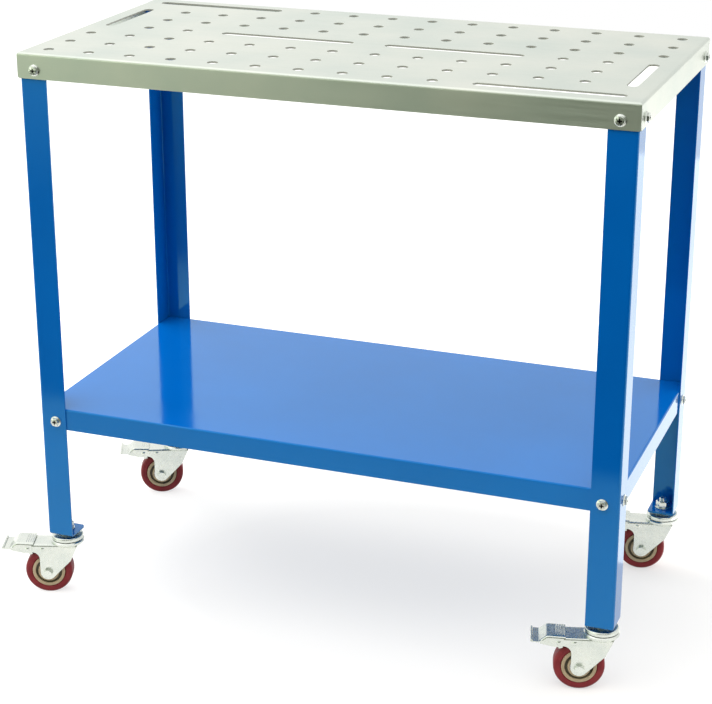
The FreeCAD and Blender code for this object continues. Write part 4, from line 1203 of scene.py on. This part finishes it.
@dataclass
class FrameBolts:
    """The flange bolts and nuts that hold the top and the shelf to the legs.

    Attributes:
        fitter: what puts the pieces on the table.
        inset: from the top's end to the bolts' line.
        top_sheet: the tabletop's thickness.
        leg_sheet: the legs' thickness.
        shelf_sheet: the shelf's thickness.
        bolt: the bolt, with its seat at height zero.
        nut: the nut, with its seat at height zero.
    """

    fitter: Fitter
    inset: float = 27.5
    top_sheet: float = 2.5
    leg_sheet: float = 2.0
    shelf_sheet: float = 1.5
    bolt: FlangeBolt = FlangeBolt()
    nut: HexNut = HexNut(low=-8.0, high=0.0, across=12.0, bore=8.06, disc=17.0, disc_height=1.6)

    def group(self, piece: Surface, node: str, name: str, sunk: float) -> None:
        """Fit one group of fasteners, two to a corner, each on the bolts' line and facing out.

        Args:
            piece: one fastener about its own Z axis.
            node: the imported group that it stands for, whose box gives the height.
            name: the group's name.
            sunk: how far the seats lie inside the tabletop's outer faces.
        """
        low, high = (np.array(end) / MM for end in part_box("tabletop"))
        middle, half = (low + high) / 2, (high - low) / 2
        line, seat = half - self.inset, half - sunk
        z = sum(end[2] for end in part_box(node)) / 2 / MM
        parts = []
        for side in (-1, 1):
            for depth in (-1, 1):
                on_long = middle + (side * line[0], depth * seat[1], 0)
                on_short = middle + (side * seat[0], depth * line[1], 0)
                parts.append(piece.moved(shift(*on_long[:2], z) @ turn(-90 * depth, "X")))
                parts.append(piece.moved(shift(*on_short[:2], z) @ turn(90 * side, "Y")))
        self.fitter.fit(Surface.joined(parts), name, FRAME_BODY, self.fitter.palette.zinc, node)

    def build(self) -> None:
        """Fit the bolts and nuts of the top and the shelf."""
        bolt, nut = self.bolt.surface(), self.nut.surface()
        inside_leg = self.top_sheet + self.leg_sheet
        self.group(bolt, "top_bolts", "top_flange_bolts", 0.0)
        self.group(nut, "top_nuts", "top_flange_nuts", inside_leg)
        self.group(bolt, "shelf_bolts", "shelf_flange_bolts", self.top_sheet)
        self.group(nut, "shelf_nuts", "shelf_flange_nuts", inside_leg + self.shelf_sheet)


@dataclass
class StemSet:
    """The caster stems with their races, washers and nuts, all on the frame."""

    fitter: Fitter
    stem: Stem = Stem()
    race: Race = Race()
    jam_nut: HexNut = HexNut(low=99.0, high=104.0, across=19.0, bore=12.06)
    washer: Ring = Ring(low=107.0, high=109.5, width=24.0, bore=13.0)
    top_nut: HexNut = HexNut(low=109.5, high=119.5, across=19.0, bore=12.06)

    def build(self) -> None:
        """Fit one group of each piece, at the four swivel axes."""
        zinc = self.fitter.palette.zinc
        groups = {
            "caster_stems": ("threaded_stems", self.stem),
            "upper_races": ("pressed_races", self.race),
            "jam_nuts": ("stem_jam_nuts", self.jam_nut),
            "foot_washers": ("stem_washers", self.washer),
            "foot_nuts": ("stem_top_nuts", self.top_nut),
        }
        places = [Caster(self.fitter, corner).local() for corner in Corner]
        for node, (name, piece) in groups.items():
            parts = [piece.surface().moved(place) for place in places]
            self.fitter.fit(Surface.joined(parts), name, FRAME_BODY, zinc, node)
        self.fitter.dress("stem_retainers", zinc)


@dataclass
class Caster:
    """One braked swivel caster.

    Attributes:
        fitter: what puts the pieces on the table.
        corner: the caster's corner.
        tyre: its tyre, whose radius is the axle's height.
        core: its wheel core.
        bolt: its axle bolt.
        lock_nut: the nut on that bolt.
        pedal: its brake pedal.
        pedal_crease: the angle in degrees past which the pedal's edges are sharp.
    """

    fitter: Fitter
    corner: Corner
    tyre: Tyre = Tyre()
    core: WheelCore = WheelCore()
    bolt: AxleBolt = AxleBolt()
    lock_nut: HexNut = HexNut(low=19.0, high=27.0, across=13.0, bore=8.06, disc=11.5, disc_height=2.0)
    pedal: Pedal = Pedal()
    pedal_crease: float = 50.0

    def joint(self, motion: Motion) -> dict:
        """Return the record's joint of this corner that makes a motion."""
        return next(joint for joint in frame["joints"] if joint["name"] == self.corner.named(motion.value))

    def local(self) -> np.ndarray:
        """Find the transform from the caster's own frame: its stem on Z, its wheel towards -X.

        Returns:
            The 4 x 4 transform.
        """
        x, y, _ = self.joint(Motion.SWIVEL)["pos_m"]
        axis = self.joint(Motion.SPIN)["axis"]
        return shift(x / MM, y / MM, 0) @ turn(degrees(atan2(-axis[0], axis[1])), "Z")

    def spot(self, motion: Motion) -> Span:
        """Return the place of a joint in the caster's frame: its x and its height, in millimetres."""
        stem, point = self.joint(Motion.SWIVEL)["pos_m"], self.joint(motion)["pos_m"]
        return -hypot(point[0] - stem[0], point[1] - stem[1]) / MM, point[2] / MM

    def build(self) -> None:
        """Fit the wheel, the axle and the pedal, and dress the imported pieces."""
        palette, named, local = self.fitter.palette, self.corner.named, self.local()
        swivel, wheel, brake = named("swivel"), named("wheel"), named("brake")
        axle_x, axle_z = self.spot(Motion.SPIN)
        axle = local @ shift(axle_x, 0, axle_z) @ turn(-90, "X")
        pieces = [
            (self.tyre.surface(axle_z), "crowned_tyre", wheel, palette.tread, "tyre"),
            (self.core.surface(), "moulded_core", wheel, palette.core, "wheel_core"),
            (self.bolt.surface(), "axle_hex_bolt", swivel, palette.zinc, "axle_bolt"),
            (self.lock_nut.surface(), "axle_lock_nut", swivel, palette.zinc, "axle_nut"),
        ]
        for surface, name, body, finish, node in pieces:
            self.fitter.fit(surface.moved(axle), named(name), body, finish, named(node))
        pivot_x, pivot_z = self.spot(Motion.PRESS)
        pedal = self.pedal.surface().moved(local @ shift(pivot_x, 0, pivot_z))
        self.fitter.fit(
            pedal, named("pressed_pedal"), brake, palette.zinc, named("brake_pedal"), self.pedal_crease)
        for node in ("fork", "brake_rivets", "brake_shoe"):
            self.fitter.dress(named(node), palette.zinc)
        for node in ("swivel_balls", "axle_sleeve", "wheel_bearings"):
            self.fitter.dress(named(node), palette.steel)


# Studio

@dataclass(frozen=True)
class Softbox:
    """A rectangular lamp that the camera doesn't see.

    Attributes:
        name: the lamp's name.
        place: its middle in metres.
        towards: the point that it faces.
        size: its width and height in metres.
        radiance: how bright its face is; a white surface in plain light has one.
        mirrored: whether glossy surfaces mirror it.
    """

    name: str
    place: Spot
    towards: Spot
    size: Span
    radiance: float
    mirrored: bool = False

    def hang(self) -> None:
        """Make the lamp; its power is pi times its face's area times its radiance."""
        lamp = bpy.data.lights.new(self.name, "AREA")
        lamp.shape = "RECTANGLE"
        lamp.size, lamp.size_y = self.size
        lamp.energy = self.radiance * pi * lamp.size * lamp.size_y
        holder = bpy.data.objects.new(self.name, lamp)
        holder.location = self.place
        facing = Vector(self.towards) - Vector(self.place)
        holder.rotation_euler = facing.to_track_quat("-Z", "Y").to_euler()
        holder.visible_camera = False
        holder.visible_glossy = self.mirrored
        bpy.context.scene.collection.objects.link(holder)


@dataclass(frozen=True)
class Floor:
    """The pale floor, which keeps the table's shadow.

    Attributes:
        low: its nearest left corner in metres.
        high: its farthest right corner.
        depth: its thickness in millimetres.
        colour: its own colour.
        shade_middle: the middle of the shade under the table, along X.
        shade_squash: how much of the way along X counts as way from that middle.
        shown: the painted glow that it shows the camera, by the way from that middle.
        near_mirrored: the painted glow that its near part shows in gloss, by the way along Y.
        far_mirrored: the painted glow that its far part adds there.
    """

    low: Span = (-4.0, -0.95)
    high: Span = (4.0, 4.5)
    depth: float = 10.0
    colour: Colour = (0.415, 0.405, 0.39, 1)
    shade_middle: float = 0.2
    shade_squash: float = 0.65
    shown: Ramp = ((0.3, 0.7), (0.53, 0.9))
    near_mirrored: Ramp = ((-0.95, -0.25), (0.0, 0.53))
    far_mirrored: Ramp = ((2.2, 3.0), (0.0, 0.35))

    def painted_glow(self, board: Board) -> bpy.types.NodeSocket:
        """Wire the painted glow that the floor gives off for a ray, though it is no lamp.

        The camera sees more of it away from the table, which deepens the shade under it, gloss and glass see
        none at the front edge and most far behind, and other rays see none.

        Args:
            board: the floor's node tree.

        Returns:
            The strength of the white.
        """
        path = board.add("ShaderNodeLightPath").outputs
        place = board.apart(board.place())
        aside = board.math("SUBTRACT", place["X"], self.shade_middle)
        along = board.math("MULTIPLY", aside, self.shade_squash)
        squares = [board.math("MULTIPLY", way, way) for way in (along, place["Y"])]
        away = board.math("SQRT", board.math("ADD", *squares))
        shown = board.spread(away, *self.shown)
        mirrored = board.math("ADD", *(
            board.spread(place["Y"], *ramp) for ramp in (self.near_mirrored, self.far_mirrored)))
        either = board.math("MAXIMUM", path["Is Glossy Ray"], path["Is Transmission Ray"])
        return board.math("MAXIMUM", board.math("MULTIPLY", path["Is Camera Ray"], shown),
                          board.math("MULTIPLY", either, mirrored))

    def lay(self) -> None:
        """Lay the floor with its top at height zero, pale and with a soft shadow."""
        x, y = np.meshgrid(*np.stack([self.low, self.high], axis=1) / MM, indexing="ij")
        slab = Surface.plate(np.stack([x, y, np.full_like(x, -self.depth / 2)], axis=2), self.depth)
        floor = slab.as_object("studio_floor", crease=30.0)
        material = bpy.data.materials.new("pale_floor")
        material.use_nodes = True
        tree = material.node_tree
        tree.nodes.remove(tree.nodes["Principled BSDF"])
        board = Board(tree)
        matte = board.add("ShaderNodeBsdfDiffuse", {"Color": self.colour}).outputs[0]
        # Painted light: the floor glows for camera and gloss rays, less near the table's shade
        white = board.add("ShaderNodeEmission", {"Strength": self.painted_glow(board)}).outputs[0]
        both = board.add("ShaderNodeAddShader", {0: matte, 1: white}).outputs[0]
        tree.links.new(both, tree.nodes["Material Output"].inputs["Surface"])
        floor.data.materials.append(material)


@dataclass(frozen=True)
class Sky:
    """The light from all round, before a white background.

    Each ramp goes by one part of the direction that the light comes from.

    Attributes:
        behind: how much a direction counts as behind the table, by its Y.
        high: how much it counts as high up, by its Z.
        back: the brightness behind, by X.
        front_rise: the brightness in front, from below the horizon up to it, by Z.
        front_fall: how that fades above the horizon, by Z.
        front_left: how that grows to the left, by X.
        front_end: how it grows more at the far left, by X.
        front_tint: the colour in front near the horizon.
        front_high: the brightness that the front has more of high up.
        overhead: how all of it grows towards the top, by Z.
    """

    behind: Ramp = ((-0.55, 0.05), (0.0, 1.0))
    high: Ramp = ((0.35, 0.6), (0.0, 1.0))
    back: Ramp = ((-0.5, -0.15), (1.1, 0.91))
    front_rise: Ramp = ((-0.27, -0.08), (0.04, 0.52))
    front_fall: Ramp = ((0.05, 0.4), (1.0, 0.35))
    front_left: Ramp = ((-0.5, -0.15), (2.5, 0.45))
    front_end: Ramp = ((-0.5, -0.38), (1.4, 1.0))
    front_tint: Colour = (0.9, 1.0, 0.78, 1)
    front_high: float = 0.85
    overhead: Ramp = ((0.5, 0.85), (1.0, 1.3))

    def build(self) -> None:
        """Make the world.

        Behind the table it is white and a little brighter to the left. On the camera's side it is tinted near
        the horizon, brighter to the left too, and dark below it. High up it is white all round and brightest
        overhead. The camera sees plain white.
        """
        world = bpy.data.worlds.new("soft_studio")
        bpy.context.scene.world = world
        world.use_nodes = True
        tree = world.node_tree
        board = Board(tree)
        towards = board.apart(board.add("ShaderNodeTexCoord").outputs["Generated"])
        behind = board.spread(towards["Y"], *self.behind)
        high = board.spread(towards["Z"], *self.high)
        front = board.spread(towards["Z"], *self.front_rise)
        for axis, ramp in (("Z", self.front_fall), ("X", self.front_left), ("X", self.front_end)):
            front = board.math("MULTIPLY", front, board.spread(towards[axis], *ramp))
        front = board.math("ADD", front, board.math("MULTIPLY", high, self.front_high))
        back = board.spread(towards["X"], *self.back)
        level = board.add("ShaderNodeMix", {0: behind, 2: front, 3: back}).outputs[0]
        level = board.math("MULTIPLY", level, board.spread(towards["Z"], *self.overhead))
        camera = board.add("ShaderNodeLightPath").outputs["Is Camera Ray"]
        untinted = board.math("MAXIMUM", board.math("MAXIMUM", behind, high), camera)
        background = tree.nodes["Background"]
        tree.links.new(board.blend(untinted, self.front_tint, WHITE), background.inputs["Color"])
        tree.links.new(board.math("MAXIMUM", level, camera), background.inputs["Strength"])


@dataclass(frozen=True)
class Viewpoint:
    """Where the photograph was taken.

    Attributes:
        place: the camera's place in metres.
        heading: its turn about Z in degrees; with none it looks along +Y.
        down: how far it looks down, in degrees.
        roll: its turn about its own axis, in degrees.
        lens: its focal length in millimetres.
        sensor: its sensor's width in millimetres.
    """

    place: Spot = (1.0061, -2.6211, 1.4456)
    heading: float = 20.605
    down: float = 20.61
    roll: float = -0.043
    lens: float = 97.65
    sensor: float = 36.0

    def stand(self) -> None:
        """Stand the camera there and make it the scene's own."""
        lens = bpy.data.cameras.new("camera")
        lens.lens, lens.sensor_width = self.lens, self.sensor
        camera = bpy.data.objects.new("camera", lens)
        turns = turn(self.heading, "Z") @ turn(90 - self.down, "X") @ turn(self.roll, "Z")
        camera.matrix_world = Matrix(shift(*self.place) @ turns)
        bpy.context.scene.collection.objects.link(camera)
        bpy.context.scene.camera = camera


@dataclass(frozen=True)
class Studio:
    """The floor, the light and the camera."""

    floor: Floor = Floor()
    sky: Sky = Sky()
    viewpoint: Viewpoint = Viewpoint()
    softboxes: tuple[Softbox, ...] = (
        Softbox("left_softbox", (-2.4, 0.3, 1.5), (0.0, 0.0, 0.35), (2.8, 2.4), 1.75),
        Softbox("right_softbox", (2.5, 0.4, 1.5), (0.0, 0.0, 0.35), (2.8, 2.4), 1.0),
        Softbox("front_softbox", (0.3, -2.4, 2.7), (0.0, 0.0, 0.4), (3.4, 2.2), 1.2),
        Softbox("top_softbox", (-0.9, -0.3, 2.9), (-0.1, -0.1, 0.0), (3.8, 3.0), 1.15),
        Softbox("floor_bounce", (0.95, 1.5, 0.003), (0.95, 1.5, 1.0), (1.0, 2.6), 0.85, mirrored=True),
    )

    def build(self) -> None:
        """Build the whole studio."""
        bpy.context.scene.view_settings.view_transform = "Standard"
        self.floor.lay()
        self.sky.build()
        for softbox in self.softboxes:
            softbox.hang()
        self.viewpoint.stand()


def main() -> None:
    """Build the studio and the table, one sub-assembly after the other."""
    logging.basicConfig(level=logging.INFO, format="%(name)s: %(message)s")
    Studio().build()
    fitter = Fitter(Palette())
    SheetWork(fitter).dress()
    FrameBolts(fitter).build()
    StemSet(fitter).build()
    for corner in Corner:
        Caster(fitter, corner).build()


if __name__ == "__main__":
    main()
